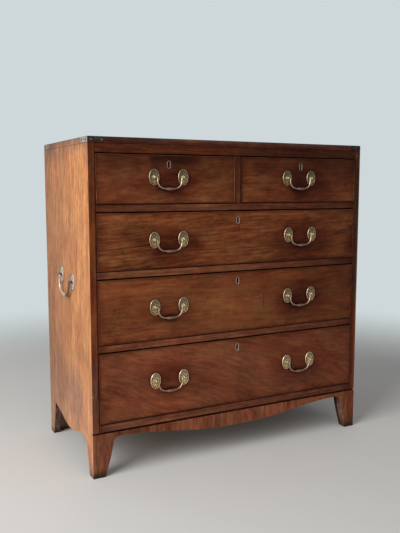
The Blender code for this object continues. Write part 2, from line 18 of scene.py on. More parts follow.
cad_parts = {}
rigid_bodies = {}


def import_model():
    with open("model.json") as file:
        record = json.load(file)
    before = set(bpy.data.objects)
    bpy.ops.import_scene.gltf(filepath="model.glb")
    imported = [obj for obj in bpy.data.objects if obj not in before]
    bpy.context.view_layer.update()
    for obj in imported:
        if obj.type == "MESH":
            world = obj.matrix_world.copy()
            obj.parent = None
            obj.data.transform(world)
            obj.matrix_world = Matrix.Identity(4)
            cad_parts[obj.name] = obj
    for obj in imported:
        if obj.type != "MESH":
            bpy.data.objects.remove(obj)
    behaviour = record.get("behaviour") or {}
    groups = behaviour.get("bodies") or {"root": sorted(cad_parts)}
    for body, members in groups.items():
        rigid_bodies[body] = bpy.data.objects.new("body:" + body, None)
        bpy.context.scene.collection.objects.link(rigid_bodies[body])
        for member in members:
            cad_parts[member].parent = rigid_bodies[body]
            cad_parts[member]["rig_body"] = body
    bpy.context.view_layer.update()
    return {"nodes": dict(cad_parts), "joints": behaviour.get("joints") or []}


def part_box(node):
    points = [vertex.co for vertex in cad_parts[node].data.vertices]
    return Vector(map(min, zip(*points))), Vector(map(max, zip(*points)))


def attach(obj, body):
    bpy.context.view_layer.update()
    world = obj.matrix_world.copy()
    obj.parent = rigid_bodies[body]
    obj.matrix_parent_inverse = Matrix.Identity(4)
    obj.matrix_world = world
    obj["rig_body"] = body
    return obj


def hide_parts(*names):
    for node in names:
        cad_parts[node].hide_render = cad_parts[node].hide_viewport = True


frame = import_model()

log = logging.getLogger("chest")

Colour = tuple[float, float, float]
Point = tuple[float, float, float]
Outline = Sequence[tuple[float, float]]
Form = bmesh.types.BMesh
Mesh = bpy.types.Mesh
Node = bpy.types.Node
Piece = bpy.types.Object
Socket = bpy.types.NodeSocket
Sockets = bpy.types.bpy_prop_collection
Tree = bpy.types.NodeTree

# Faces of the chest, read from the frame
SIDE_LOW, SIDE_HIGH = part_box("left_side")
FRONT_Y = SIDE_LOW.y
BACK_Y = SIDE_HIGH.y
OUTER_X = -SIDE_LOW.x
TOP_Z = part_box("top_board")[1].z

# Modelling tolerances
WELD = 1e-5
FLAT_ANGLE = radians(0.5)
EDGE_ANGLE = radians(30)
SMOOTH_ANGLE = radians(40)
FACE_TOLERANCE = 0.0006

# How edges are rounded: steps on boards and on small blocks, and the bulge that makes an arc
BOARD_STEPS = 2
BLOCK_STEPS = 3
ARC = 0.5

# How squarely a face looks one way, as the share of its normal that points there
SLANTED = 0.3
HALF_FACING = 0.5
FACING = 0.75
SQUARE = 0.98

# Cells per metre of the patterns in wood, in soil and painted shade, in metal and on the floor
DRIFT_CELLS = 1.7
RIPPLE_CELLS = 46.0
MOTTLE_CELLS = 60.0
HUE_CELLS = 19.0
PORE_CELLS = 1300.0
RUB_CELLS = 38.0
CREVICE_CELLS = 60.0
STAIN_CELLS = 26.0
BORDER_CELLS = 22.0
SCUFF_CELLS = 55.0
BLOTCH_CELLS = 190.0
FLECK_CELLS = 620.0
CAST_CELLS = 900.0
FLOOR_CELLS = 6.0

# How the wood's patterns are drawn out, as factors on the place along the grain and across it
DRIFT_SHAPE = (1.0, 3.0, 3.0)
CLOUD_SHAPE = (0.5, 1.0, 1.0)
RIPPLE_SHAPE = (1.0, 0.16, 0.16)
MOTTLE_SHAPE = (0.45, 1.0, 1.0)
PORE_SHAPE = (0.06, 1.0, 1.0)
SEED_STEPS = (3.17, 1.31, 2.23)
MIDDLE = (0.5, 0.5, 0.5)

# Broad streaks' cells beside the fine ones, how much the pores darken and sink, and how the fine streaks rise
BROAD_SHARE = 0.40
PORE_DARK = 0.35
PORE_DEPTH = -0.7
STREAK_HEIGHT = 0.5

# Values between which each pattern comes in, and for two of them the results that these become
RIPPLE_RANGE = (0.42, 0.62)
PORE_RANGE = (0.56, 0.70)
HUE_RANGE = (0.36, 0.64)
EDGE_RANGE = (0.02, 0.20)
RUB_RANGE = (0.34, 0.62)
GAP_RANGE = (0.95, 0.42)
CREVICE_RANGE = (0.25, 0.60, 0.6, 1.0)
STAIN_RANGE = (1.0, 0.15)
BORDER_RANGE = (0.30, 0.66, 0.35, 1.5)
SCUFF_RANGE = (0.5, -0.5)
HOLLOW_RANGE = (0.95, 0.45)
BLOTCH_RANGE = (0.38, 0.62)
FLECK_RANGE = (0.62, 0.72)

# How ragged the edges of stains and scuffs are, and how flecks, clouds and hollows change old metal
STAIN_RAGGED = 0.9
SCUFF_RAGGED = -1.2
FLECK_DARK = 0.7
CLOUD_ROUGH = 0.18
HOLLOW_ROUGH = 0.25

# How far roughness follows the wood's tone, and strength and depth of the bump on wood and metal
ROUGH_SPREAD = 0.12
WOOD_BUMP = (0.22, 0.0006)
METAL_BUMP = (0.10, 0.0003)

# Rays of the shaders that find edges and hollows
EDGE_RAYS = 6
HOLLOW_RAYS = 8


class Grain(Enum):
    """Axis that a board's grain runs along, as the order in which x, y and z are read."""

    ALONG_X = (0, 1, 2)
    ALONG_Y = (1, 0, 2)
    ALONG_Z = (2, 0, 1)


class Blend(Enum):
    """Ways of laying one colour over another."""

    OVER = "MIX"
    DARKEN = "MULTIPLY"


class RoseZone(Enum):
    """Parts of a rose, as their numbers among its finishes."""

    RIM = 0
    FIELD = 1
    BALL = 2
    GROOVE = 3


class Shade:
    """Adds and joins shader nodes in one tree."""

    def __init__(self, tree: Tree) -> None:
        """Keep the tree that the nodes go into."""
        self.tree = tree

    def add(self, kind: str, **settings: object) -> Node:
        """Add a node.

        Args:
            kind: Blender's name of the node type.
            settings: properties to set on the node.

        Returns:
            The new node.
        """
        node = self.tree.nodes.new(kind)
        for key, value in settings.items():
            setattr(node, key, value)
        return node

    def join(self, node: Node, inputs: dict) -> Sockets:
        """Link or set a node's inputs.

        Args:
            node: the node to feed.
            inputs: sockets or plain values by input name or number.

        Returns:
            The node's outputs.
        """
        for key, value in inputs.items():
            if isinstance(value, Socket):
                self.tree.links.new(value, node.inputs[key])
            else:
                node.inputs[key].default_value = value
        return node.outputs

    def sum(self, operation: str, *terms: object, clamp: bool = False) -> Socket:
        """Work out a value from up to three sockets or numbers; clamp keeps it between 0 and 1."""
        node = self.add("ShaderNodeMath", operation=operation, use_clamp=clamp)
        return self.join(node, dict(enumerate(terms)))[0]

    def vector(self, operation: str, *terms: object) -> Socket:
        """Work out a vector from sockets or vectors, or a number for LENGTH and DOT_PRODUCT."""
        outputs = self.join(self.add("ShaderNodeVectorMath", operation=operation), dict(enumerate(terms)))
        return outputs["Value" if operation in ("LENGTH", "DOT_PRODUCT") else "Vector"]

    def pack(self, *parts: object) -> Socket:
        """Make a vector of three sockets or numbers."""
        return self.join(self.add("ShaderNodeCombineXYZ"), dict(enumerate(parts)))[0]

    def parts(self, vector: Socket) -> Sockets:
        """Split a vector into its X, Y and Z."""
        return self.join(self.add("ShaderNodeSeparateXYZ"), {0: vector})

    def noise(self, vector: object, cells: object, detail: float = 2.0, rough: float = 0.5,
              swirl: float = 0.0) -> Socket:
        """Read a noise of so many cells per metre, with its octaves, what each one keeps and its swirl."""
        inputs = {"Vector": vector, "Scale": cells, "Detail": detail, "Roughness": rough, "Distortion": swirl}
        return self.join(self.add("ShaderNodeTexNoise"), inputs)["Fac"]

    def spread(self, value: object, low: object, high: object, to_low: float = 0.0,
               to_high: float = 1.0) -> Socket:
        """Map values from low to high smoothly onto those from to_low to to_high."""
        inputs = {"Value": value, "From Min": low, "From Max": high, "To Min": to_low, "To Max": to_high}
        return self.join(self.add("ShaderNodeMapRange", interpolation_type="SMOOTHSTEP"), inputs)["Result"]

    def mix(self, factor: object, under: object, over: object, blend: Blend = Blend.OVER) -> Socket:
        """Lay one colour over another, as much as the factor says."""
        node = self.add("ShaderNodeMix", data_type="RGBA", blend_type=blend.value)
        return self.join(node, {0: factor, 6: under, 7: over})[2]

    def hollows(self, reach: Socket) -> Socket:
        """Tell how open each place is, from 0 deep in a hollow to 1."""
        node = self.add("ShaderNodeAmbientOcclusion", samples=HOLLOW_RAYS)
        return self.join(node, {"Distance": reach})["AO"]

    def bump(self, height: Socket, strength: float, distance: float) -> Socket:
        """Turn a height into the normal of a bumpy face."""
        inputs = {"Strength": strength, "Distance": distance, "Height": height}
        return self.join(self.add("ShaderNodeBump"), inputs)["Normal"]

    def group(self, tree: Tree, inputs: dict) -> Sockets:
        """Place a node group with its own values by input name, and give its outputs."""
        return self.join(self.add("ShaderNodeGroup", node_tree=tree), inputs)

    def lay(self, under: Socket, tree: Tree, inputs: dict, over: Colour, blend: Blend = Blend.OVER) -> Socket:
        """Lay a plain colour over another where a mask group marks it."""
        return self.mix(self.group(tree, inputs)["Mask"], under, paint(over), blend)


def paint(colour: Colour) -> tuple[float, float, float, float]:
    """Give a colour the full alpha that a colour socket takes."""
    return (*colour, 1.0)


def new_group(name: str, inputs: dict[str, str], outputs: dict[str, str]) -> tuple[Shade, Sockets, Node]:
    """Start a shader node group with named sockets.

    Args:
        name: the group's name.
        inputs: kind of each input by its label; kinds are Vector, Float and Color.
        outputs: the same for each output.

    Returns:
        The group's Shade, the sockets that come in and the node that takes the results.
    """
    tree = bpy.data.node_groups.new(name, "ShaderNodeTree")
    for direction, sockets in (("INPUT", inputs), ("OUTPUT", outputs)):
        for label, kind in sockets.items():
            tree.interface.new_socket(name=label, in_out=direction, socket_type=f"NodeSocket{kind}")
    shade = Shade(tree)
    return shade, shade.add("NodeGroupInput").outputs, shade.add("NodeGroupOutput")


def new_mask(name: str, **inputs: str) -> tuple[Shade, Sockets, Node]:
    """Start a group that marks places; beside its own inputs it takes Vector and Amount, and gives Mask."""
    return new_group(name, {"Vector": "Vector", **inputs, "Amount": "Float"}, {"Mask": "Float"})


def end_mask(shade: Shade, given: Sockets, results: Node, mask: Socket) -> Tree:
    """Finish such a group with its mask made as strong as Amount says."""
    shade.join(results, {"Mask": shade.sum("MULTIPLY", mask, given["Amount"], clamp=True)})
    return shade.tree


# Values of a wood's figure, each an input of its group and, in small letters, a field of its finish
FIGURE_VALUES = ("Seed", "Lines", "Stretch", "Clouds", "Warp", "Streak", "Cloud", "Mottle", "Ripple", "Hue")
FIGURE_COLOURS = ("Dark", "Mid", "Light")


@lru_cache(maxsize=None)
def wood_figure() -> Tree:
    """Build the group that draws grain along X: streaks, clouds, mottle, cross ripple and pores."""
    values, colours = dict.fromkeys(FIGURE_VALUES, "Float"), dict.fromkeys(FIGURE_COLOURS, "Color")
    shade, given, results = new_group(
        "wood_figure", {"Vector": "Vector", **values, **colours},
        {"Color": "Color", "Tone": "Float", "Height": "Float"})
    offset = shade.pack(*(shade.sum("MULTIPLY", given["Seed"], step) for step in SEED_STEPS))
    place = shade.vector("ADD", given["Vector"], offset)
    drift = shade.noise(shade.vector("MULTIPLY", place, DRIFT_SHAPE), DRIFT_CELLS).node.outputs["Color"]
    reach = shade.pack(0.0, given["Warp"], given["Warp"])
    drift = shade.vector("MULTIPLY", shade.vector("SUBTRACT", drift, MIDDLE), reach)
    wavy = shade.vector("ADD", place, drift)
    drawn = shade.vector("MULTIPLY", wavy, shade.pack(shade.sum("DIVIDE", 1.0, given["Stretch"]), 1.0, 1.0))
    broad_cells = shade.sum("MULTIPLY", given["Lines"], BROAD_SHARE)
    broad = shade.noise(drawn, broad_cells, detail=4.0, rough=0.6)
    fine = shade.noise(drawn, given["Lines"], detail=3.0, rough=0.65)
    clouded = shade.vector("MULTIPLY", wavy, CLOUD_SHAPE)
    cloud = shade.noise(clouded, given["Clouds"], detail=3.0, rough=0.55, swirl=0.6)
    mottle = shade.noise(shade.vector("MULTIPLY", place, MOTTLE_SHAPE), MOTTLE_CELLS, detail=5.0, rough=0.72)
    tone = 0.5
    for pattern, share in ((broad, "Streak"), (fine, "Streak"), (cloud, "Cloud"), (mottle, "Mottle")):
        tone = shade.sum("MULTIPLY_ADD", shade.sum("SUBTRACT", pattern, 0.5), given[share], tone)
    ripple = shade.noise(shade.vector("MULTIPLY", wavy, RIPPLE_SHAPE), RIPPLE_CELLS, detail=1.0)
    ripple = shade.sum("MULTIPLY", shade.sum("SUBTRACT", ripple, 0.5), shade.spread(cloud, *RIPPLE_RANGE))
    tone = shade.sum("MULTIPLY_ADD", ripple, given["Ripple"], tone)
    pores = shade.noise(shade.vector("MULTIPLY", place, PORE_SHAPE), PORE_CELLS, detail=1.0)
    pores = shade.spread(pores, *PORE_RANGE)
    low = shade.mix(shade.sum("MULTIPLY", tone, 2.0, clamp=True), given["Dark"], given["Mid"])
    colour = shade.mix(shade.sum("MULTIPLY_ADD", tone, 2.0, -1.0, clamp=True), low, given["Light"])
    hue = shade.noise(clouded, HUE_CELLS, detail=3.0, rough=0.6)
    tint = shade.mix(shade.spread(hue, *HUE_RANGE), paint(REDDER), paint(AMBER))
    colour = shade.mix(given["Hue"], colour, tint, Blend.DARKEN)
    colour = shade.mix(shade.sum("MULTIPLY", pores, PORE_DARK), colour, given["Dark"])
    height = shade.sum("MULTIPLY_ADD", pores, PORE_DEPTH, shade.sum("MULTIPLY", fine, STREAK_HEIGHT))
    shade.join(results, {"Color": colour, "Tone": tone, "Height": height})
    return shade.tree


@lru_cache(maxsize=None)
def edge_wear() -> Tree:
    """Build the group that marks rubbed edges, broken up so that they aren't even."""
    shade, given, results = new_mask("edge_wear", Radius="Float")
    bevel = shade.add("ShaderNodeBevel", samples=EDGE_RAYS)
    rounded = shade.join(bevel, {"Radius": given["Radius"]})["Normal"]
    facing = shade.add("ShaderNodeNewGeometry").outputs["Normal"]
    turn = shade.sum("SUBTRACT", 1.0, shade.vector("DOT_PRODUCT", rounded, facing))
    rub = shade.noise(given["Vector"], RUB_CELLS, detail=4.0, rough=0.65)
    mask = shade.sum("MULTIPLY", shade.spread(turn, *EDGE_RANGE), shade.spread(rub, *RUB_RANGE))
    return end_mask(shade, given, results, mask)


@lru_cache(maxsize=None)
def crevice_dirt() -> Tree:
    """Build the group that darkens gaps and corners the more closed in they are: gathered dirt and old
    polish, and painted shade.
    """
    shade, given, results = new_mask("crevice_dirt", Reach="Float")
    closed = shade.spread(shade.hollows(given["Reach"]), *GAP_RANGE)
    patchy = shade.noise(given["Vector"], CREVICE_CELLS, detail=3.0)
    mask = shade.sum("MULTIPLY", closed, shade.spread(patchy, *CREVICE_RANGE))
    return end_mask(shade, given, results, mask)


@lru_cache(maxsize=None)
def soft_stain() -> Tree:
    """Build the group that marks one soft-edged oval patch at a place on a board."""
    shade, given, results = new_mask("soft_stain", Centre="Vector", Reach="Vector")
    apart = shade.vector("DIVIDE", shade.vector("SUBTRACT", given["Vector"], given["Centre"]), given["Reach"])
    ragged = shade.noise(
        shade.vector("MULTIPLY", given["Vector"], CLOUD_SHAPE), STAIN_CELLS, detail=4.0, rough=0.6)
    ragged = shade.sum("MULTIPLY_ADD", ragged, STAIN_RAGGED, -STAIN_RAGGED / 2)
    distance = shade.sum("ADD", shade.vector("LENGTH", apart), ragged)
    return end_mask(shade, given, results, shade.spread(distance, *STAIN_RANGE))


@lru_cache(maxsize=None)
def border_grime() -> Tree:
    """Build the group that marks old dark polish and painted shade along the edges of an upright panel."""
    shade, given, results = new_mask("border_grime", Low="Vector", High="Vector", Reach="Vector")
    inside = shade.vector("MINIMUM", shade.vector("SUBTRACT", given["Vector"], given["Low"]),
                          shade.vector("SUBTRACT", given["High"], given["Vector"]))
    parts = shade.parts(shade.vector("DIVIDE", inside, given["Reach"]))
    nearest = shade.sum("MINIMUM", parts["X"], parts["Z"])
    patchy = shade.noise(given["Vector"], BORDER_CELLS, detail=3.0)
    ragged = shade.spread(patchy, *BORDER_RANGE)
    mask = shade.spread(shade.sum("DIVIDE", nearest, ragged), 1.0, 0.0)
    return end_mask(shade, given, results, mask)


@lru_cache(maxsize=None)
def floor_scuff() -> Tree:
    """Build the group that marks dark scuffs near the floor."""
    shade, given, results = new_mask("floor_scuff", Height="Float")
    up = shade.parts(given["Vector"])["Z"]
    rough = shade.noise(given["Vector"], SCUFF_CELLS, detail=4.0, rough=0.65)
    level = shade.sum("MULTIPLY_ADD", rough, shade.sum("MULTIPLY", given["Height"], SCUFF_RAGGED), up)
    mask = shade.spread(shade.sum("DIVIDE", level, given["Height"]), *SCUFF_RANGE)
    return end_mask(shade, given, results, mask)


@lru_cache(maxsize=None)
def tarnish() -> Tree:
    """Build the group that colours old metal: dark in hollows, clouded on the flat, bright where rubbed."""
    colours = dict.fromkeys(("Bright", "Dull", "Dark"), "Color")
    values = dict.fromkeys(("Reach", "Cloud", "Roughness"), "Float")
    shade, given, results = new_group(
        "tarnish", {"Vector": "Vector", **colours, **values}, {"Color": "Color", "Roughness": "Float"})
    hollow = shade.spread(shade.hollows(given["Reach"]), *HOLLOW_RANGE)
    blotch = shade.noise(given["Vector"], BLOTCH_CELLS, detail=4.0, rough=0.6)
    clouded = shade.sum("MULTIPLY", shade.spread(blotch, *BLOTCH_RANGE), given["Cloud"])
    colour = shade.mix(clouded, given["Bright"], given["Dull"])
    colour = shade.mix(hollow, colour, given["Dark"])
    fleck = shade.noise(given["Vector"], FLECK_CELLS)
    fleck = shade.sum("MULTIPLY", shade.spread(fleck, *FLECK_RANGE), FLECK_DARK)
    colour = shade.mix(fleck, colour, given["Dark"])
    rough = shade.sum("MULTIPLY_ADD", clouded, CLOUD_ROUGH, given["Roughness"])
    rough = shade.sum("MULTIPLY_ADD", hollow, HOLLOW_ROUGH, rough)
    shade.join(results, {"Color": colour, "Roughness": rough})
    return shade.tree


def new_material(name: str) -> tuple[Shade, Node, Socket]:
    """Start a node material.

    Args:
        name: the material's name.

    Returns:
        Its Shade, its Principled shader and the socket of places on the object.
    """
    material = bpy.data.materials.new(name)
    material.use_nodes = True
    shade = Shade(material.node_tree)
    place = shade.add("ShaderNodeTexCoord").outputs["Object"]
    return shade, material.node_tree.nodes["Principled BSDF"], place


# Tints of marks and patches on the wood, which multiply its colour
PLAIN = (1.0, 1.0, 1.0)
REDDER = (1.04, 0.92, 0.93)
AMBER = (0.97, 1.07, 1.06)
SHADOW = (0.50, 0.31, 0.36)
DEEP = (0.33, 0.13, 0.16)
GLOW = (1.32, 1.36, 1.30)
OLIVE = (1.12, 1.34, 1.20)
# Pale tint of real wear, and of painted highlights on the beads
PALE_WEAR_AND_HIGHLIGHT = (1.9, 2.6, 3.2)
GREYED = (1.15, 1.55, 1.75)
WORN = (1.2, 1.9, 3.4)
# Share of the dark grain's colour laid in gaps and corners, as dirt and painted shade
CREVICE_SOIL_AND_SHADE = (0.17, 0.08, 0.08)

# How much lighter than its light grain a wood is where it is rubbed, and the scuffs at the floor
RUBBED = 1.25
SCUFF_HEIGHT = 0.026
SCUFF_COLOUR = (0.020, 0.012, 0.009)


@dataclass(frozen=True)
class Stain:
    """A soft patch on a board: its middle, its half sizes, its strength and the tint that it lays on."""

    centre: Point
    reach: Point
    amount: float
    tint: Colour


@dataclass(frozen=True)
class TintRamp:
    """A change of tint along one axis of the chest, between two places on it."""

    axis: str
    start: float
    end: float
    first: Colour
    last: Colour

    def over(self, shade: Shade, place: Socket, colour: Socket) -> Socket:
        """Lay the change of tint over a colour.

        Args:
            shade: the material's nodes.
            place: socket of places on the object.
            colour: socket of the colour.

        Returns:
            The tinted colour's socket.
        """
        along = shade.parts(place)[self.axis]
        tint = shade.mix(shade.spread(along, self.start, self.end), paint(self.first), paint(self.last))
        return shade.mix(1.0, colour, tint, Blend.DARKEN)


@dataclass(frozen=True)
class Border:
    """Dark polish and painted shade along a panel's edges, as the panel's corners, its reach from them and
    its strength.
    """

    low: Point
    high: Point
    reach: Point = (0.028, 1.0, 0.013)
    amount: float = 0.52


@dataclass(frozen=True)
class WoodFinish:
    """One wood with its grain, its polish, its age and the light and shade painted on it."""

    name: str
    slot: str
    dark: Colour
    mid: Colour
    light: Colour
    grain: Grain
    seed: float
    lines: float = 150.0
    stretch: float = 22.0
    clouds: float = 5.5
    warp: float = 0.030
    streak: float = 1.3
    cloud: float = 0.9
    mottle: float = 1.1
    ripple: float = 0.0
    hue: float = 1.0
    slant: float = 0.0
    roughness: float = 0.42
    gloss: float = 0.30
    wear: float = 0.35
    wear_radius: float = 0.003
    # Strength and reach of the darkening in gaps and corners: dirt and painted shade
    dirt: float = 0.85
    dirt_reach: float = 0.010
    scuff: float = 0.0
    stains: tuple[Stain, ...] = ()
    tint_ramps: tuple[TintRamp, ...] = ()
    border: Border | None = None
    sheen: Colour = (1.0, 0.62, 0.42)

    @lru_cache(maxsize=None)
    def material(self) -> bpy.types.Material:
        """Build this finish's material once.

        Returns:
            The node material.
        """
        shade, shader, place = new_material(self.name)
        values = {label: getattr(self, label.lower()) for label in FIGURE_VALUES}
        colours = {label: paint(getattr(self, label.lower())) for label in FIGURE_COLOURS}
        figure = shade.group(wood_figure(), {"Vector": self.along_grain(shade, place), **values, **colours})
        rough = shade.sum("MULTIPLY_ADD", figure["Tone"], ROUGH_SPREAD, self.roughness - ROUGH_SPREAD / 2)
        shade.join(shader, {
            "Base Color": self.aged(shade, place, figure["Color"]), "Roughness": rough,
            "Specular IOR Level": self.gloss, "Specular Tint": paint(self.sheen),
            "Normal": shade.bump(figure["Height"], *WOOD_BUMP)})
        return bpy.data.materials[self.name]

    def along_grain(self, shade: Shade, place: Socket) -> Socket:
        """Turn places so that the grain runs along X.

        Args:
            shade: the material's nodes.
            place: socket of places on the object.

        Returns:
            The turned place's socket.
        """
        if self.slant:
            turn = shade.add("ShaderNodeVectorRotate", rotation_type="Y_AXIS")
            place = shade.join(turn, {"Vector": place, "Angle": self.slant})[0]
        parts = shade.parts(place)
        return shade.pack(*(parts[axis] for axis in self.grain.value))

    def aged(self, shade: Shade, place: Socket, colour: Socket) -> Socket:
        """Lay tint ramps, stains, wear, dirt and painted shade, and scuffs over the bare wood.

        Args:
            shade: the material's nodes.
            place: socket of places on the object.
            colour: socket of the bare wood's colour.

        Returns:
            The aged colour's socket.
        """
        for ramp in self.tint_ramps:
            colour = ramp.over(shade, place, colour)
        for stain in self.stains:
            patch = {"Vector": place, "Centre": stain.centre, "Reach": stain.reach, "Amount": stain.amount}
            colour = shade.lay(colour, soft_stain(), patch, stain.tint, Blend.DARKEN)
        # Old dark polish and painted shade along the panel's edges
        if self.border:
            edge = {"Vector": place, "Low": self.border.low, "High": self.border.high,
                    "Reach": self.border.reach, "Amount": self.border.amount}
            colour = shade.lay(colour, border_grime(), edge, SHADOW, Blend.DARKEN)
        wear = {"Vector": place, "Radius": self.wear_radius, "Amount": self.wear}
        rubbed = tuple(min(1.0, RUBBED * part) for part in self.light)
        colour = shade.lay(colour, edge_wear(), wear, rubbed)
        # Gaps and corners darken: dirt and painted shade
        dirt = {"Vector": place, "Reach": self.dirt_reach, "Amount": self.dirt}
        soil_and_shade = tuple(share * part for share, part in zip(CREVICE_SOIL_AND_SHADE, self.dark))
        colour = shade.lay(colour, crevice_dirt(), dirt, soil_and_shade)
        if self.scuff:
            scuff = {"Vector": place, "Height": SCUFF_HEIGHT, "Amount": self.scuff}
            colour = shade.lay(colour, floor_scuff(), scuff, SCUFF_COLOUR)
        return colour


@dataclass(frozen=True)
class MetalFinish:
    """One old metal, with its bright, dull and dark colours."""

    name: str
    bright: Colour
    dull: Colour
    dark: Colour
    cloud: float = 0.75
    reach: float = 0.006
    metallic: float = 1.0
    roughness: float = 0.30
    gloss: float = 0.5
    tint_ramps: tuple[TintRamp, ...] = ()
    slot: str = "aged_brass"

    @lru_cache(maxsize=None)
    def material(self) -> bpy.types.Material:
        """Build this finish's material once.

        Returns:
            The node material.
        """
        shade, shader, place = new_material(self.name)
        old = shade.group(tarnish(), {
            "Vector": place, "Bright": paint(self.bright), "Dull": paint(self.dull), "Dark": paint(self.dark),
            "Reach": self.reach, "Cloud": self.cloud, "Roughness": self.roughness})
        colour = old["Color"]
        for ramp in self.tint_ramps:
            colour = ramp.over(shade, place, colour)
        shade.join(shader, {
            "Base Color": colour, "Roughness": old["Roughness"], "Metallic": self.metallic,
            "Specular IOR Level": self.gloss,
            "Normal": shade.bump(shade.noise(place, CAST_CELLS), *METAL_BUMP)})
        return bpy.data.materials[self.name]

    def toned(self, row: str, share: float) -> "MetalFinish":
        """Make this metal lighter or darker for one row of handles, whose name ends the finish's name."""
        bright, dull = (tuple(share * part for part in colour) for colour in (self.bright, self.dull))
        return replace(self, name=f"{self.name}_{row}", bright=bright, dull=dull)


Finish = WoodFinish | MetalFinish
Rule = tuple[Callable[[Vector, Vector], bool], Finish]

# A mark's middle across and up, or back and up on a side, its half width, half height, strength and tint
Mark = tuple[float, float, float, float, float, Colour]

# Reach of marks through a board and across the chest, and middle and half height of those up the whole front
THROUGH = 1.0
BOTH_SIDES = 2.0
MIDWAY_UP = 0.600
TALL = 5.0


def on_front(*marks: Mark) -> tuple[Stain, ...]:
    """Turn marks on the front into stains."""
    return tuple(Stain((x, FRONT_Y, z), (half_w, THROUGH, half_h), amount, tint)
                 for x, z, half_w, half_h, amount, tint in marks)


def on_sides(*marks: Mark) -> tuple[Stain, ...]:
    """Turn marks on the sides into stains."""
    return tuple(Stain((0.0, y, z), (BOTH_SIDES, half_w, half_h), amount, tint)
                 for y, z, half_w, half_h, amount, tint in marks)


def gap_shade_lines(half_w: float, *places: float) -> list[Mark]:
    """Mark dark lines of painted shade up the whole front, in the gaps at places across it."""
    return [(x, MIDWAY_UP, half_w, TALL, 1.0, DEEP) for x in places]


# Polish of the stiles, rails, beads and drawer fronts
POLISH = {"gloss": 0.18, "dirt": 1.0, "dirt_reach": 0.014}

# Worn inner corner of the right front foot: where it meets the floor, its slope and the levels of its marks
FOOT_CORNER = 0.4640
FOOT_SLOPE = 0.26
FOOT_LEVELS = (0.012, 0.036, 0.060, 0.084)

# Woods
# Lighter near the front, darker to the back: partly sun fading, partly painted light falling off from the
# front
FADED_SIDE = WoodFinish(
    "faded_mahogany_side", "mahogany_side", (0.20, 0.072, 0.027), (0.42, 0.173, 0.066), (0.60, 0.275, 0.110),
    Grain.ALONG_Z, 3.1, lines=320.0, stretch=26.0, clouds=7.0, streak=1.55, mottle=1.2, hue=0.5, scuff=0.75,
    wear=0.20, dirt=0.20, sheen=(1.0, 0.9, 0.8),
    tint_ramps=(TintRamp("Y", FRONT_Y, BACK_Y, (1.24, 1.20, 1.08), (0.68, 0.68, 0.74)),
           TintRamp("Z", 0.32, 0.17, PLAIN, (0.95, 0.99, 1.20))),
    stains=on_sides(
        (0.00, 1.030, 0.60, 0.075, 1.00, (0.50, 0.59, 0.96)),
        (0.17, 0.990, 0.10, 0.060, 0.70, (0.66, 0.70, 0.80)),
        (-0.19, 1.000, 0.06, 0.030, 0.60, (0.78, 0.98, 1.20)),
        (-0.225, 0.980, 0.045, 0.065, 0.90, (0.50, 0.54, 0.74)),
        (0.16, 0.920, 0.10, 0.070, 0.80, (1.16, 1.13, 1.02)),
        (-0.05, 0.680, 0.13, 0.110, 0.80, (0.76, 0.72, 0.80)),
        (0.15, 0.620, 0.10, 0.120, 0.60, (0.74, 0.70, 0.76)),
        (0.01, 0.560, 0.09, 0.060, 0.50, (0.74, 0.72, 0.74)),
        (-0.18, 0.560, 0.12, 0.170, 0.60, (0.78, 0.80, 0.90)),
        (-0.16, 0.860, 0.10, 0.090, 0.60, (1.12, 1.14, 1.12)),
        (-0.13, 0.450, 0.08, 0.070, 0.80, (0.72, 0.68, 0.68)),
        (-0.16, 0.360, 0.12, 0.120, 0.80, (0.70, 0.70, 0.74)),
        (-0.06, 0.225, 0.15, 0.130, 0.95, (0.56, 0.64, 0.92)),
        (0.13, 0.250, 0.15, 0.200, 0.65, (0.72, 0.70, 0.76)),
        (-0.16, 0.155, 0.10, 0.060, 0.85, (0.70, 0.72, 0.88)),
        (0.02, 0.130, 0.12, 0.030, 0.60, (1.10, 1.20, 1.34)),
        (-0.21, 0.050, 0.09, 0.100, 0.80, (0.68, 0.65, 0.76)),
        (0.23, 0.060, 0.06, 0.120, 0.80, (1.20, 1.36, 1.56)),
        (-0.235, 0.190, 0.016, 0.150, 0.95, (1.34, 1.44, 1.60)),
        (-0.235, 0.800, 0.012, 0.100, 0.60, (1.16, 1.20, 1.26)),
        (-0.155, 1.015, 0.080, 0.034, 0.85, (0.56, 0.68, 0.84)),
        (0.00, 1.023, 0.60, 0.010, 0.90, (0.56, 0.70, 0.86))))
# Right stile and divider top painted darker, as painted light falloff and shade; gap lines are painted shade
STILE = WoodFinish(
    "polished_mahogany_stile", "mahogany_side", (0.045, 0.010, 0.0035), (0.122, 0.0295, 0.0085),
    (0.21, 0.066, 0.020), Grain.ALONG_Z, 8.3, lines=220.0, streak=1.1, cloud=1.1, **POLISH, stains=on_front(
        (0.490, 0.800, 0.060, 0.550, 1.00, (0.27, 0.38, 0.56)), (-0.489, 0.730, 0.030, 0.100, 0.70, GLOW),
        (-0.489, 1.010, 0.030, 0.060, 0.90, SHADOW), (-0.489, 0.550, 0.030, 0.100, 0.80, (0.78, 0.66, 0.70)),
        (0.000, 0.930, 0.030, 0.200, 0.85, (0.50, 0.56, 1.00)), (0.000, 0.980, 0.030, 0.050, 0.80, SHADOW),
        (-0.489, 0.250, 0.030, 0.200, 0.90, (0.77, 1.02, 2.40)), (-0.499, 0.254, 0.0035, 0.0045, 1.00, PALE_WEAR_AND_HIGHLIGHT),
        (0.485, 0.985, 0.0050, 0.014, 1.00, PALE_WEAR_AND_HIGHLIGHT), (0.501, 0.600, 0.011, 1.200, 1.00, (2.40, 2.30, 2.40)),
        *gap_shade_lines(0.0030, -0.4795, -0.0095, 0.0095, 0.4795)))
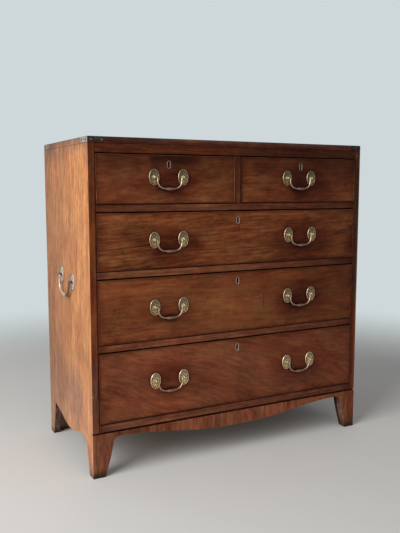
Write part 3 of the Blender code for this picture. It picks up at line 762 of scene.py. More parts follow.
TOP = WoodFinish(
    "dark_mahogany_top", "mahogany_top", (0.026, 0.009, 0.005), (0.062, 0.019, 0.009), (0.120, 0.042, 0.020),
    Grain.ALONG_X, 5.7, clouds=3.5, streak=1.2, cloud=1.2, roughness=0.62, gloss=0.06)
# The top rail darkens to the right: painted light falling off across the front
TOP_RAIL = WoodFinish(
    "dark_mahogany_rail", "mahogany_rail", (0.026, 0.006, 0.0025), (0.070, 0.0155, 0.0050),
    (0.13, 0.038, 0.012), Grain.ALONG_X, 12.7, lines=220.0, streak=1.2, cloud=1.1, gloss=0.15, dirt=1.0,
    dirt_reach=0.014, tint_ramps=(TintRamp("X", -0.17, 0.06, (1.06, 1.02, 1.02), (0.54, 0.56, 0.76)),),
    stains=on_front((-0.40, 0.985, 0.15, 0.06, 0.8, (0.70, 0.70, 0.80))))
# Greyer along the top of the top board's front edge: partly dust, partly painted sky light on the rounding
TOP_EDGE = replace(
    TOP_RAIL, name="dark_top_edge", slot="mahogany_top", mid=(0.056, 0.0182, 0.0122),
    tint_ramps=(TintRamp("Z", TOP_Z - 0.003, TOP_Z - 0.013, (0.98, 1.80, 2.20), (1.0, 0.76, 0.68)),))
# The rails darken from left to right: painted light falling off across the front
RAIL = WoodFinish(
    "polished_mahogany_rail", "mahogany_rail", (0.036, 0.0095, 0.0045), (0.097, 0.0268, 0.0124),
    (0.18, 0.058, 0.024), Grain.ALONG_X, 11.9, lines=220.0, streak=1.0, cloud=0.5, **POLISH,
    tint_ramps=(TintRamp("X", -0.42, 0.47, (1.22, 1.24, 1.24), (0.80, 0.74, 0.72)),), stains=on_front(
        (-0.478, MIDWAY_UP, 0.035, TALL, 0.7, SHADOW), (0.478, MIDWAY_UP, 0.050, TALL, 0.8, SHADOW),
        (-0.35, 0.813, 0.25, 0.06, 0.9, (0.62, 0.58, 0.54)),
        (-0.11, 0.813, 0.14, 0.03, 0.8, (1.16, 1.30, 1.42)),
        (-0.03, 0.39, 0.6, 0.55, 1.0, (1.34, 1.50, 1.62)), (-0.42, 0.15, 0.1, 0.06, 0.8, (1.22, 1.40, 1.60)),
        (-0.02, 0.15, 0.1, 0.06, 0.8, (1.30, 1.30, 1.36)), (0.40, 0.15, 0.2, 0.06, 0.8, (1.24, 1.28, 1.36)),
        (-0.150, 0.614, 0.600, 0.040, 0.8, (1.18, 1.24, 1.16)), (0.440, 0.614, 0.080, 0.040, 0.8, SHADOW)))
# Near black on the rounded edges of the rails' fronts: painted shade in the gaps by the drawers
SHADED_RAIL_EDGE = replace(
    RAIL, name="soiled_rail_edge", dark=(0.008, 0.002, 0.001), mid=(0.022, 0.0055, 0.0030),
    light=(0.060, 0.018, 0.009), tint_ramps=(), stains=())
APRON = WoodFinish(
    "cross_banded_apron", "mahogany_rail", (0.062, 0.0165, 0.008), (0.152, 0.0450, 0.0210),
    (0.27, 0.092, 0.040), Grain.ALONG_Z, 17.3, lines=250.0, stretch=12.0, streak=1.25, cloud=1.5, clouds=9.0,
    scuff=0.95, gloss=0.18, dirt=1.0, dirt_reach=0.012, stains=on_front(
        (0.48, 0.06, 0.06, 0.12, 1.0, (1.06, 0.88, 0.66)), (-0.475, 0.06, 0.05, 0.1, 0.8, (0.93, 1.04, 1.26)),
        *((FOOT_CORNER - FOOT_SLOPE * up, up, 0.010, 0.020, 0.9, WORN) for up in FOOT_LEVELS)))
SAWN_EDGE = WoodFinish(
    "worn_sawn_edge", "mahogany_rail", (0.040, 0.020, 0.016), (0.105, 0.056, 0.046), (0.26, 0.18, 0.15),
    Grain.ALONG_Z, 19.1, lines=120.0, stretch=5.0, streak=1.6, cloud=1.6, clouds=16.0, scuff=0.3, gloss=0.12,
    roughness=0.6)
# The sides' sawn faces between the feet are darker still: painted shade under the chest
SIDE_SAWN = replace(SAWN_EDGE, name="dark_sawn_edge", mid=(0.070, 0.033, 0.025), light=(0.16, 0.10, 0.085))
# Blocks behind the apron are near black: painted shade inside the feet
FOOT_BLOCK = WoodFinish(
    "dark_foot_block", "mahogany_rail", (0.020, 0.008, 0.004), (0.045, 0.018, 0.009), (0.080, 0.034, 0.018),
    Grain.ALONG_Z, 21.7, gloss=0.10, roughness=0.7, wear=0.1)
# Fronts darken to the right and up the top drawers: painted light falloff and painted shade under the top
# rail
DRAWER_FRONT = WoodFinish(
    "figured_front", "mahogany_front", (0.046, 0.0095, 0.0036), (0.128, 0.0335, 0.0118),
    (0.235, 0.088, 0.033), Grain.ALONG_X, 0.0, roughness=0.40, **POLISH,
    tint_ramps=(TintRamp("X", -0.36, 0.46, (1.16, 1.16, 1.12), (0.76, 0.70, 0.66)),
           TintRamp("Z", 0.84, 0.975, PLAIN, (0.50, 0.47, 0.46))))
# Pale marks on the bead's ends are painted highlights; the dark lines are painted shade in the gaps
BEAD = WoodFinish(
    "upright_bead", "mahogany_front", (0.045, 0.012, 0.005), (0.105, 0.030, 0.0115), (0.24, 0.092, 0.042),
    Grain.ALONG_Z, 23.9, lines=260.0, wear=0.50, wear_radius=0.0012, **POLISH, stains=on_front(
        (-0.0130, 0.898, 0.006, 0.085, 1.0, PALE_WEAR_AND_HIGHLIGHT), (0.4765, 0.850, 0.006, 0.040, 0.8, GLOW),
        (-0.4765, 0.845, 0.006, 0.030, 0.9, PALE_WEAR_AND_HIGHLIGHT), (-0.4765, 0.660, 0.006, 0.050, 0.9, PALE_WEAR_AND_HIGHLIGHT),
        (-0.4765, 0.440, 0.006, 0.050, 0.7, PALE_WEAR_AND_HIGHLIGHT), (-0.4765, 0.210, 0.006, 0.040, 0.6, GLOW),
        (0.0130, 0.900, 0.004, 0.200, 0.9, DEEP), *gap_shade_lines(0.0022, -0.4785, 0.4785)))
# It takes the fronts' tint ramps, so the same painted light and shade.
TOP_BEAD = replace(
    BEAD, name="top_bead", mid=(0.125, 0.036, 0.014), grain=Grain.ALONG_X, seed=25.3, dirt=0.6,
    dirt_reach=0.006, tint_ramps=DRAWER_FRONT.tint_ramps, stains=())
# Near black on the front's top edge, end roundings and bottom bead: painted shade in the gaps round it
SHADED_BEAD = WoodFinish(
    "bottom_bead", "mahogany_front", (0.016, 0.0040, 0.0020), (0.046, 0.0110, 0.0048), (0.12, 0.034, 0.014),
    Grain.ALONG_X, 27.1, lines=200.0, wear=0.25, wear_radius=0.0012, gloss=0.15, dirt=1.0, dirt_reach=0.014)
RAW_MAHOGANY = WoodFinish(
    "raw_mahogany", "mahogany_rail", (0.10, 0.036, 0.016), (0.19, 0.082, 0.038), (0.28, 0.135, 0.066),
    Grain.ALONG_X, 29.5, roughness=0.7, gloss=0.15, wear=0.1)
OAK = WoodFinish(
    "dry_oak_lining", "oak_lining", (0.16, 0.092, 0.045), (0.34, 0.215, 0.115), (0.48, 0.325, 0.185),
    Grain.ALONG_Y, 31.7, lines=170.0, stretch=16.0, roughness=0.72, gloss=0.15, wear=0.2, dirt=0.6)
OAK_BOTTOM = WoodFinish(
    "dry_oak_bottom", "oak_lining", (0.15, 0.086, 0.042), (0.31, 0.195, 0.103), (0.44, 0.295, 0.165),
    Grain.ALONG_X, 37.1, lines=120.0, stretch=14.0, roughness=0.75, gloss=0.12, wear=0.1, dirt=0.6)
PINE = WoodFinish(
    "old_pine", "pine_back", (0.100, 0.056, 0.032), (0.23, 0.138, 0.084), (0.34, 0.220, 0.135),
    Grain.ALONG_Z, 41.3, lines=70.0, stretch=20.0, roughness=0.8, gloss=0.10, wear=0.25, dirt=0.7, scuff=0.6)
DUST_BOARD = WoodFinish(
    "old_pine_dust_board", "mahogany_rail", (0.11, 0.060, 0.030), (0.24, 0.145, 0.075), (0.36, 0.230, 0.125),
    Grain.ALONG_X, 43.9, lines=70.0, stretch=18.0, roughness=0.8, gloss=0.10, wear=0.1)
# Near black plug in the keyhole: painted shade for the dark inside of the hole
SHADED_KEYHOLE_PLUG = WoodFinish(
    "keyhole_wood", "mahogany_front", (0.010, 0.0025, 0.002), (0.024, 0.0055, 0.004), (0.050, 0.012, 0.008),
    Grain.ALONG_X, 47.3, gloss=0.15, wear=0.1, dirt=0.5)

# Metals
BRASS = MetalFinish(
    "aged_brass", (0.66, 0.64, 0.59), (0.36, 0.34, 0.29), (0.050, 0.040, 0.020), roughness=0.22)
RIM_BRASS = MetalFinish(
    "rubbed_brass_rim", (0.86, 0.60, 0.41), (0.43, 0.285, 0.185), (0.050, 0.035, 0.020), cloud=0.9,
    roughness=0.36)
GROOVE_BRASS = MetalFinish(
    "dark_brass_groove", (0.20, 0.140, 0.070), (0.08, 0.055, 0.028), (0.015, 0.011, 0.006), cloud=1.0,
    roughness=0.45)
LEG_TINT = (1.62, 2.00, 2.02)
ROD_BRASS = MetalFinish(
    "browned_brass_rod", (0.43, 0.255, 0.180), (0.215, 0.122, 0.083), (0.050, 0.030, 0.018), cloud=0.9,
    roughness=0.36,
    tint_ramps=(TintRamp("X", -0.034, -0.016, LEG_TINT, PLAIN), TintRamp("X", 0.016, 0.034, PLAIN, LEG_TINT)))
# The field is painted darker and greyer at its top, lighter below: painted shade in the dish
BRASS_FIELD = MetalFinish(
    "dull_brass_field", (0.53, 0.395, 0.215), (0.185, 0.135, 0.067), (0.018, 0.014, 0.007), cloud=1.0,
    roughness=0.40, tint_ramps=(TintRamp("Z", 0.014, -0.014, (0.84, 0.88, 1.00), (1.14, 1.12, 0.96)),))
LIFT_BRASS = MetalFinish(
    "pale_lift_brass", (0.62, 0.49, 0.39), (0.36, 0.265, 0.200), (0.036, 0.030, 0.022), cloud=0.9,
    metallic=0.4, roughness=0.36)
# The bail's front leg is painted dark: painted shade on the leg away from the light
LIFT_ROD = replace(
    LIFT_BRASS, name="pale_lift_rod", tint_ramps=(TintRamp("X", 0.010, 0.030, PLAIN, (0.32, 0.25, 0.20)),))
# The ball head is painted near black: painted shade in the hollow round the post
SHADED_LIFT_BALL = MetalFinish(
    "dark_lift_ball", (0.15, 0.135, 0.115), (0.08, 0.072, 0.062), (0.030, 0.025, 0.020), metallic=0.4)
LIFT_FIELD = MetalFinish(
    "pale_lift_field", (0.66, 0.54, 0.44), (0.34, 0.265, 0.210), (0.018, 0.015, 0.010), cloud=1.0,
    metallic=0.3, roughness=0.36)
STRAP_BRASS = MetalFinish(
    "blackened_strap_brass", (0.046, 0.041, 0.035), (0.016, 0.014, 0.012), (0.008, 0.006, 0.005),
    cloud=1.0, metallic=0.0, roughness=0.50, gloss=0.12,
    tint_ramps=(TintRamp("Z", TOP_Z - 0.006, TOP_Z - 0.016, (1.0, 0.97, 0.94), (1.25, 0.50, 0.46)),))
PALE_STRAP = MetalFinish(
    "oxidised_strap_brass", (0.52, 0.48, 0.41), (0.15, 0.125, 0.100), (0.05, 0.04, 0.03), cloud=1.0,
    metallic=0.35, roughness=0.45)
BROWN_STRAP = MetalFinish(
    "browned_strap_brass", (0.34, 0.235, 0.175), (0.20, 0.130, 0.090), (0.05, 0.035, 0.025), cloud=1.0,
    metallic=0.3, roughness=0.45)
SCREW_BRASS = MetalFinish(
    "screw_brass", (0.22, 0.185, 0.165), (0.11, 0.088, 0.076), (0.030, 0.024, 0.016), cloud=0.6,
    reach=0.002, roughness=0.40)
RING_BRASS = MetalFinish(
    "keyhole_brass", (0.52, 0.375, 0.315), (0.26, 0.180, 0.146), (0.05, 0.03, 0.02), cloud=0.8,
    reach=0.0015, metallic=0.7, roughness=0.40)
LOCK_STEEL = MetalFinish(
    "lock_steel", (0.34, 0.32, 0.29), (0.19, 0.17, 0.15), (0.055, 0.040, 0.030), cloud=0.9)


def show(name: str, mesh: Mesh, finish: Finish, body: str, matrix: Matrix = Matrix()) -> Piece:
    """Add a piece to the chest.

    Args:
        name: the piece's name.
        mesh: its mesh, whose material this sets unless it has some.
        finish: its finish.
        body: body that it rides on.
        matrix: its place.

    Returns:
        The piece.
    """
    if not mesh.materials:
        mesh.materials.append(finish.material())
    piece = bpy.data.objects.new(name, mesh)
    piece.matrix_world = matrix
    bpy.context.scene.collection.objects.link(piece)
    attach(piece, body)
    log.info("%s rides on %s", name, body)
    return piece


def mesh_from(name: str, form: Form) -> Mesh:
    """Turn a form into a smooth-shaded mesh with its true edges kept sharp.

    Args:
        name: the mesh's name.
        form: the form, which is freed.

    Returns:
        The mesh.
    """
    bmesh.ops.recalc_face_normals(form, faces=form.faces)
    mesh = bpy.data.meshes.new(name)
    form.to_mesh(mesh)
    form.free()
    mesh.shade_smooth()
    mesh.set_sharp_from_angle(angle=SMOOTH_ANGLE)
    return mesh


def loft(name: str, rings: Sequence[Sequence[Point]], closed: bool = False,
         zones: Sequence[int] = ()) -> Mesh:
    """Skin a body over rings of equally many points.

    Args:
        name: the mesh's name.
        rings: the rings in order.
        closed: join the last ring to the first instead of capping both.
        zones: number of the material of each band between rings, if not all are the first.

    Returns:
        The mesh.
    """
    form = bmesh.new()
    loops = [[form.verts.new(point) for point in ring] for ring in rings]
    pairs = list(zip(loops, loops[1:]))
    if closed:
        pairs.append((loops[-1], loops[0]))
    else:
        form.faces.new(loops[0])
        form.faces.new(loops[-1])
    for number, (near, far) in enumerate(pairs):
        for i in range(len(near)):
            j = (i + 1) % len(near)
            face = form.faces.new((near[i], near[j], far[j], far[i]))
            face.material_index = zones[number] if zones else 0
    return mesh_from(name, form)


def eased_block(name: str, low: Sequence[float], high: Sequence[float], ease: float) -> Mesh:
    """Make a block with rounded edges.

    Args:
        name: the mesh's name.
        low: its lowest corner.
        high: its highest corner.
        ease: radius of its edges.

    Returns:
        The mesh.
    """
    form = bmesh.new()
    middle = [(a + b) / 2 for a, b in zip(low, high)]
    size = [b - a for a, b in zip(low, high)]
    matrix = Matrix.Translation(middle) @ Matrix.Diagonal((*size, 1.0))
    bmesh.ops.create_cube(form, size=1.0, matrix=matrix)
    bmesh.ops.bevel(form, geom=form.edges[:], offset=ease, segments=BLOCK_STEPS, profile=ARC, affect="EDGES")
    return mesh_from(name, form)


def oval(half_w: float, half_h: float, level: float, sides: int, waves: int = 0,
         wave: float = 0.0) -> list[Point]:
    """Points of an oval ring in the plane of a fitting, whose front looks along -Y.

    Args:
        half_w: half its width.
        half_h: half its height.
        level: how far it stands out.
        sides: number of points.
        waves: how many times the ring rises and falls on its way round.
        wave: how far it rises and falls.

    Returns:
        The ring's points.
    """
    turns = [2 * pi * i / sides for i in range(sides)]
    return [(half_w * cos(turn), -level - wave * cos(waves * turn), half_h * sin(turn)) for turn in turns]


def upright_slot(half_w: float, half_h: float, steps: int) -> Outline:
    """Outline of an upright slot with round ends.

    Args:
        half_w: half its width.
        half_h: half its height.
        steps: points at each end.

    Returns:
        The outline's points, across and up.
    """
    points = []
    for way in (1, -1):
        for i in range(steps):
            turn = pi * i / (steps - 1)
            points.append((way * half_w * cos(turn), way * (half_h - half_w + half_w * sin(turn))))
    return points


def split_plate(name: str, outline: Outline, gap: float, back: float, front: float) -> Mesh:
    """Make a plate with an upright slit through its middle.

    Args:
        name: the mesh's name.
        outline: the plate's outline, across and up, even on both sides.
        gap: width of the slit.
        back: level of the plate's back.
        front: level of its front, towards -Y.

    Returns:
        The mesh of both halves.
    """
    form = bmesh.new()
    for side in (-1, 1):
        half = [(side * max(side * x, gap / 2), z) for x, z in outline]
        part = loft(name, [[(x, -level, z) for x, z in half] for level in (back, front)])
        form.from_mesh(part)
        bpy.data.meshes.remove(part)
    bmesh.ops.remove_doubles(form, verts=form.verts, dist=WELD)
    return mesh_from(name, form)


def cad_form(node: str) -> Form:
    """Copy a CAD node's solid, with its doubled points welded.

    Args:
        node: the CAD node.

    Returns:
        The form.
    """
    form = bmesh.new()
    form.from_mesh(frame["nodes"][node].data)
    bmesh.ops.remove_doubles(form, verts=form.verts, dist=WELD)
    return form


def ease_edges(form: Form, ease: float, shortest: float, inner: bool = False) -> None:
    """Join the flat faces of a form and round its edges.

    Args:
        form: the form.
        ease: radius of the edges.
        shortest: edges shorter than this stay sharp.
        inner: round inner corners too, without holding the roundings apart.
    """
    bmesh.ops.dissolve_limit(form, angle_limit=FLAT_ANGLE, verts=form.verts, edges=form.edges)
    edges = [edge for edge in form.edges if edge.is_manifold and (inner or edge.is_convex)
             and edge.calc_length() > shortest and edge.calc_face_angle() > EDGE_ANGLE]
    bmesh.ops.bevel(form, geom=edges, offset=ease, segments=BOARD_STEPS, profile=ARC, affect="EDGES",
                    clamp_overlap=not inner)


def softened(node: str, ease: float, shortest: float, rules: Iterable[Rule], finish: Finish) -> None:
    """Replace a CAD piece by a copy with rounded edges, finished face by face.

    Args:
        node: the CAD node.
        ease: radius of the edges.
        shortest: edges shorter than this stay sharp.
        rules: finishes for the faces that a test of middle and normal picks; the first that fits counts.
        finish: finish of all other faces.
    """
    form = cad_form(node)
    ease_edges(form, ease, shortest)
    mesh = mesh_from(f"{node}_wood", form)
    rules = list(rules)
    for used in (finish, *(rule[1] for rule in rules)):
        mesh.materials.append(used.material())
    for face in mesh.polygons:
        for number, (test, _) in enumerate(rules, 1):
            if test(face.center, face.normal):
                face.material_index = number
                break
    piece = show(f"{node}_wood", mesh, finish, frame["nodes"][node]["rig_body"])
    shading = piece.modifiers.new("even_shading", "WEIGHTED_NORMAL")
    shading.keep_sharp = True
    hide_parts(node)


@dataclass
class Carcass:
    """The fixed case: sides, top, rails, divider, apron, bottom and back."""

    ease: float = 0.0007
    rail_ease: float = 0.0018
    shortest: float = 0.0035
    rail_depth: float = 0.055
    apron_t: float = 0.019
    arch_top: float = 0.135
    back_boards: int = 7
    board_gap: float = 0.0006
    body: str = "carcass"

    def build(self) -> None:
        """Make every piece of the case."""
        self.sides()
        self.boards()
        self.back()

    def sides(self) -> None:
        """Finish the sides: faded outside, polished stiles in front and raw wood inside."""
        def is_front(middle: Vector, normal: Vector) -> bool:
            """Tell whether a face is the stile that a side shows in front."""
            return normal.y < -FACING and middle.y < FRONT_Y + FACE_TOLERANCE

        def is_inside(middle: Vector, normal: Vector) -> bool:
            """Tell whether a face lies within the outer face."""
            return abs(middle.x) < OUTER_X - FACE_TOLERANCE

        def is_sawn(middle: Vector, normal: Vector) -> bool:
            """Tell whether a face is sawn between the feet."""
            return is_inside(middle, normal) and abs(normal.x) < HALF_FACING and middle.z < self.arch_top

        rules = [(is_front, STILE), (is_sawn, SIDE_SAWN), (is_inside, RAW_MAHOGANY)]
        for node in ("left_side", "right_side"):
            softened(node, self.ease, self.shortest, rules, FADED_SIDE)

    def boards(self) -> None:
        """Finish the top, the rails with their dust boards, the divider and the apron."""
        def is_behind(middle: Vector, normal: Vector) -> bool:
            """Tell whether a face belongs to the dust board behind a rail."""
            return middle.y > FRONT_Y + self.rail_depth - FACE_TOLERANCE

        def is_past_edge(middle: Vector, normal: Vector) -> bool:
            """Tell whether a face lies behind the rounded front edges."""
            return middle.y > FRONT_Y + 2 * self.rail_ease

        def is_end(middle: Vector, normal: Vector) -> bool:
            """Tell whether a face is a board's end in the side of the chest."""
            return abs(normal.x) > FACING and abs(middle.x) > OUTER_X - FACE_TOLERANCE

        def is_sawn(middle: Vector, normal: Vector) -> bool:
            """Tell whether a face of the apron is sawn between the feet."""
            across = abs(normal.x) > HALF_FACING or normal.z < -HALF_FACING
            return across and abs(middle.x) < OUTER_X - self.ease

        def is_front(middle: Vector, normal: Vector) -> bool:
            """Tell whether a face looks forward."""
            return normal.y < -FACING

        def is_eased_edge(middle: Vector, normal: Vector) -> bool:
            """Tell whether a face is the rounded upper or lower edge of a rail's front."""
            return SLANTED < abs(normal.z) < SQUARE and not is_past_edge(middle, normal)

        def is_block(middle: Vector, normal: Vector) -> bool:
            """Tell whether a face belongs to a block behind the apron."""
            return middle.y > FRONT_Y + self.apron_t + FACE_TOLERANCE

        softened("top_board", self.ease, self.shortest, [(is_end, FADED_SIDE), (is_front, TOP_EDGE)], TOP)
        softened("top_rail", self.rail_ease, self.shortest, [], TOP_RAIL)
        rail_rules = [(is_behind, DUST_BOARD), (is_eased_edge, SHADED_RAIL_EDGE)]
        for node in ("upper_blade", "middle_blade", "lower_blade", "bottom_board"):
            softened(node, self.rail_ease, self.shortest, rail_rules, RAIL)
        softened("centre_divider", self.rail_ease, self.shortest, [(is_past_edge, DUST_BOARD)], STILE)
        apron_rules = [(is_end, FADED_SIDE), (is_block, FOOT_BLOCK), (is_sawn, SAWN_EDGE)]
        softened("apron", self.ease, self.shortest, apron_rules, APRON)

    def back(self) -> None:
        """Cut the back panel into upright boards."""
        low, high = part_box("back_panel")
        width = (high.x - low.x) / self.back_boards
        for i in range(self.back_boards):
            form = cad_form("back_panel")
            cuts = [(low.x + i * width + self.board_gap, -1), (low.x + (i + 1) * width - self.board_gap, 1)]
            for x, way in cuts:
                whole = form.verts[:] + form.edges[:] + form.faces[:]
                cut = bmesh.ops.bisect_plane(
                    form, geom=whole, plane_co=(x, 0, 0), plane_no=(way, 0, 0), clear_outer=True)
                rim = [item for item in cut["geom_cut"] if isinstance(item, bmesh.types.BMEdge)]
                bmesh.ops.holes_fill(form, edges=rim)
            ease_edges(form, self.ease, self.shortest, inner=True)
            piece = show(f"back_board_{i + 1}", mesh_from(f"back_board_{i + 1}", form), PINE, self.body)
            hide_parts("back_panel")


@dataclass(frozen=True)
class HandlePattern:
    """Sizes and finish of one pattern of bail handle, beside what the frame gives."""

    rim: MetalFinish
    field: MetalFinish
    ball: MetalFinish
    rod: MetalFinish
    stand_off: float
    pin_r: float
    rod_r: float
    grip_r: float
    grip: float
    head_r: float
    bend_r: float = 0.0032
    power: float = 0.68
    seat: float = 0.0003
    rim_proud: float = 0.0030
    petals: int = 10
    petal_depth: float = 0.0004


DRAWER_PATTERN = HandlePattern(
    rim=RIM_BRASS, field=BRASS_FIELD, ball=BRASS, rod=ROD_BRASS, stand_off=0.009, pin_r=0.0016, rod_r=0.0023,
    grip_r=0.0052, grip=0.021, head_r=0.0044)
LIFT_PATTERN = HandlePattern(
    rim=LIFT_BRASS, field=LIFT_FIELD, ball=SHADED_LIFT_BALL, rod=LIFT_ROD, stand_off=0.0105, pin_r=0.0020,
    rod_r=0.0033, grip_r=0.0060, grip=0.024, head_r=0.0053)

# Section of a rose above its seat, from the outside in: inset, share of the rim's height, share of the petals
ROSE_SECTION = (
    (0.0, 0.40, 0.0), (0.0004, 0.75, 0.0), (0.0010, 0.97, 0.0), (0.0016, 1.0, 0.0), (0.0022, 0.88, 0.0),
    (0.0027, 0.58, 0.0), (0.0034, 0.46, 0.0), (0.0046, 0.50, 0.3), (0.0058, 0.54, 1.0), (0.0078, 0.46, 0.8),
    (0.0096, 0.36, 0.1))
# Section of its boss and neck: shares of the head's radius and of the rim's height
BOSS_SECTION = ((1.55, 0.42), (1.40, 0.85), (1.15, 0.95), (0.68, 1.20))
# Levels of its ball head, in degrees from its widest place
BALL_ANGLES = tuple(-47 + 11.6 * step for step in range(12))
# How many bands of it each part takes, from the outside in, before the ball takes the rest
ROSE_BANDS = ((RoseZone.RIM, 5), (RoseZone.GROOVE, 3), (RoseZone.FIELD, 5))

# How bright the roses and the keyhole rings of each row of drawers are made, from the top row down
ROW_TONES = {"top": 0.72, "upper": 0.97, "middle": 1.04, "lower": 1.60}
RING_TONES = {"top": 0.74, "upper": 1.10, "middle": 1.10, "lower": 1.30}


def row_pattern(row: str) -> HandlePattern:
    """Pattern of the handles on one row of drawers, with the row's own tone of brass."""
    rim, field = (finish.toned(row, ROW_TONES[row]) for finish in (RIM_BRASS, BRASS_FIELD))
    return replace(DRAWER_PATTERN, rim=rim, field=field)


@dataclass
class BailHandle:
    """A pair of roses on their posts, with the bail that swings between them."""

    bail_node: str
    roses: tuple[str, str]
    pattern: HandlePattern
    sides: int = 60
    rod_sides: int = 18
    bend_steps: int = 6
    bow_steps: int = 32

    def build(self) -> None:
        """Make the roses and the bail in place of the CAD's plain ones."""
        body = frame["nodes"][self.bail_node]["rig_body"]
        joint = next(joint for joint in frame["joints"] if joint["child"] == body)
        matrix = self.seat(Vector(joint["pos_m"]), Vector(joint["axis"]))
        boxes = {node: self.local_box(node, matrix) for node in (*self.roses, self.bail_node)}
        middles = [(low + high) / 2 for low, high in (boxes[node] for node in self.roses)]
        for node, middle in zip(self.roses, middles):
            half = (boxes[node][1] - boxes[node][0]) / 2
            base = matrix @ Matrix.Translation((middle.x, self.pattern.stand_off, 0.0))
            mesh = self.rose(half.x, half.z)
            piece = show(f"{node}_cast", mesh, self.pattern.rim, frame["nodes"][node]["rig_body"], base)
            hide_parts(node)
        spread = abs(middles[1].x - middles[0].x) / 2
        drop = -boxes[self.bail_node][0].z - self.pattern.grip_r
        piece = show(f"{self.bail_node}_cast", self.bail(spread, drop), self.pattern.rod, body, matrix)
        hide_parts(self.bail_node)

    @staticmethod
    def seat(place: Vector, axis: Vector) -> Matrix:
        """Work out the handle's own frame: X along the swing axis, -Y away from the wood.

        Args:
            place: middle of the swing axis.
            axis: direction of the swing axis, which the frame gives from right to left.

        Returns:
            The matrix from the handle's frame to the chest's.
        """
        along = -axis.normalized()
        inward = Vector((0.0, 0.0, 1.0)).cross(along).normalized()
        turn = Matrix((along, inward, along.cross(inward))).transposed()
        return Matrix.Translation(place) @ turn.to_4x4()

    @staticmethod
    def local_box(node: str, matrix: Matrix) -> tuple[Vector, Vector]:
        """Box of a node in the handle's own frame.

        Args:
            node: the CAD node.
            matrix: the matrix from the handle's frame to the chest's.

        Returns:
            The box's lowest and highest corners.
        """
        back = matrix.inverted()
        points = [back @ vertex.co for vertex in frame["nodes"][node].data.vertices]
        low, high = (Vector([pick(point[i] for point in points) for i in range(3)]) for pick in (min, max))
        return low, high

    @staticmethod
    def middle(node: str) -> Vector:
        """Middle of a node's box."""
        low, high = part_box(node)
        return (low + high) / 2

    def rose(self, half_w: float, half_h: float) -> Mesh:
        """Turn an oval rose: moulded rim, dished field with petals, boss, neck and ball head.

        Args:
            half_w: half the rose's width.
            half_h: half its height.

        Returns:
            The mesh, with the wood's face at y = 0.
        """
        shape = self.pattern
        rim, head_r = shape.rim_proud, shape.head_r
        rings = [oval(half_w, half_h, shape.seat, self.sides)]
        for inset, height, petal in ROSE_SECTION:
            rings.append(oval(half_w - inset, half_h - inset, height * rim, self.sides, shape.petals,
                              petal * shape.petal_depth))
        for share, height in BOSS_SECTION:
            rings.append(oval(share * head_r, share * head_r, height * rim, self.sides))
        for angle in BALL_ANGLES:
            radius = head_r * cos(radians(angle))
            rings.append(oval(radius, radius, shape.stand_off + head_r * sin(radians(angle)), self.sides))
        zones = [zone.value for zone, count in ROSE_BANDS for _ in range(count)]
        zones += [RoseZone.BALL.value] * (len(rings) - len(zones))
        mesh = loft("rose", rings, zones=zones)
        finishes = {RoseZone.RIM: shape.rim, RoseZone.FIELD: shape.field, RoseZone.BALL: shape.ball,
                    RoseZone.GROOVE: GROOVE_BRASS}
        for zone in RoseZone:
            mesh.materials.append(finishes[zone].material())
        return mesh

    def bail(self, spread: float, drop: float) -> Mesh:
        """Sweep the bail: pins on the swing axis, quick bends, and a squarish bow that swells into a grip.

        Args:
            spread: half the distance between the posts.
            drop: how far the grip's middle line hangs below the axis.

        Returns:
            The mesh about the swing axis.
        """
        shape = self.pattern
        arm = spread - shape.head_r - shape.seat - shape.bend_r
        line = [(-spread, 0.0, shape.pin_r)]
        for i in range(self.bend_steps + 1):
            turn = pi / 2 * i / self.bend_steps
            line.append((-arm - shape.bend_r * (1 - sin(turn)), -shape.bend_r * (1 - cos(turn)),
                         shape.pin_r + (shape.rod_r - shape.pin_r) * i / self.bend_steps))
        for i in range(1, self.bow_steps + 1):
            turn = pi / 2 * i / self.bow_steps
            x = -arm * abs(cos(turn)) ** shape.power
            swell = max(0.0, 1 - abs(x) / shape.grip)
            radius = shape.rod_r + (shape.grip_r - shape.rod_r) * swell * swell * (3 - 2 * swell)
            line.append((x, -shape.bend_r - (drop - shape.bend_r) * sin(turn) ** shape.power, radius))
        line += [(-x, z, radius) for x, z, radius in reversed(line[:-1])]
        turns = [2 * pi * k / self.rod_sides for k in range(self.rod_sides)]
        rings = []
        for i, (x, z, radius) in enumerate(line):
            before, after = line[max(i - 1, 0)], line[min(i + 1, len(line) - 1)]
            along = Vector((after[0] - before[0], 0.0, after[1] - before[1])).normalized()
            across = Vector((-along.z, 0.0, along.x))
            rings.append([Vector((x, radius * cos(t), z)) + radius * sin(t) * across for t in turns])
        return loft("bail", rings)


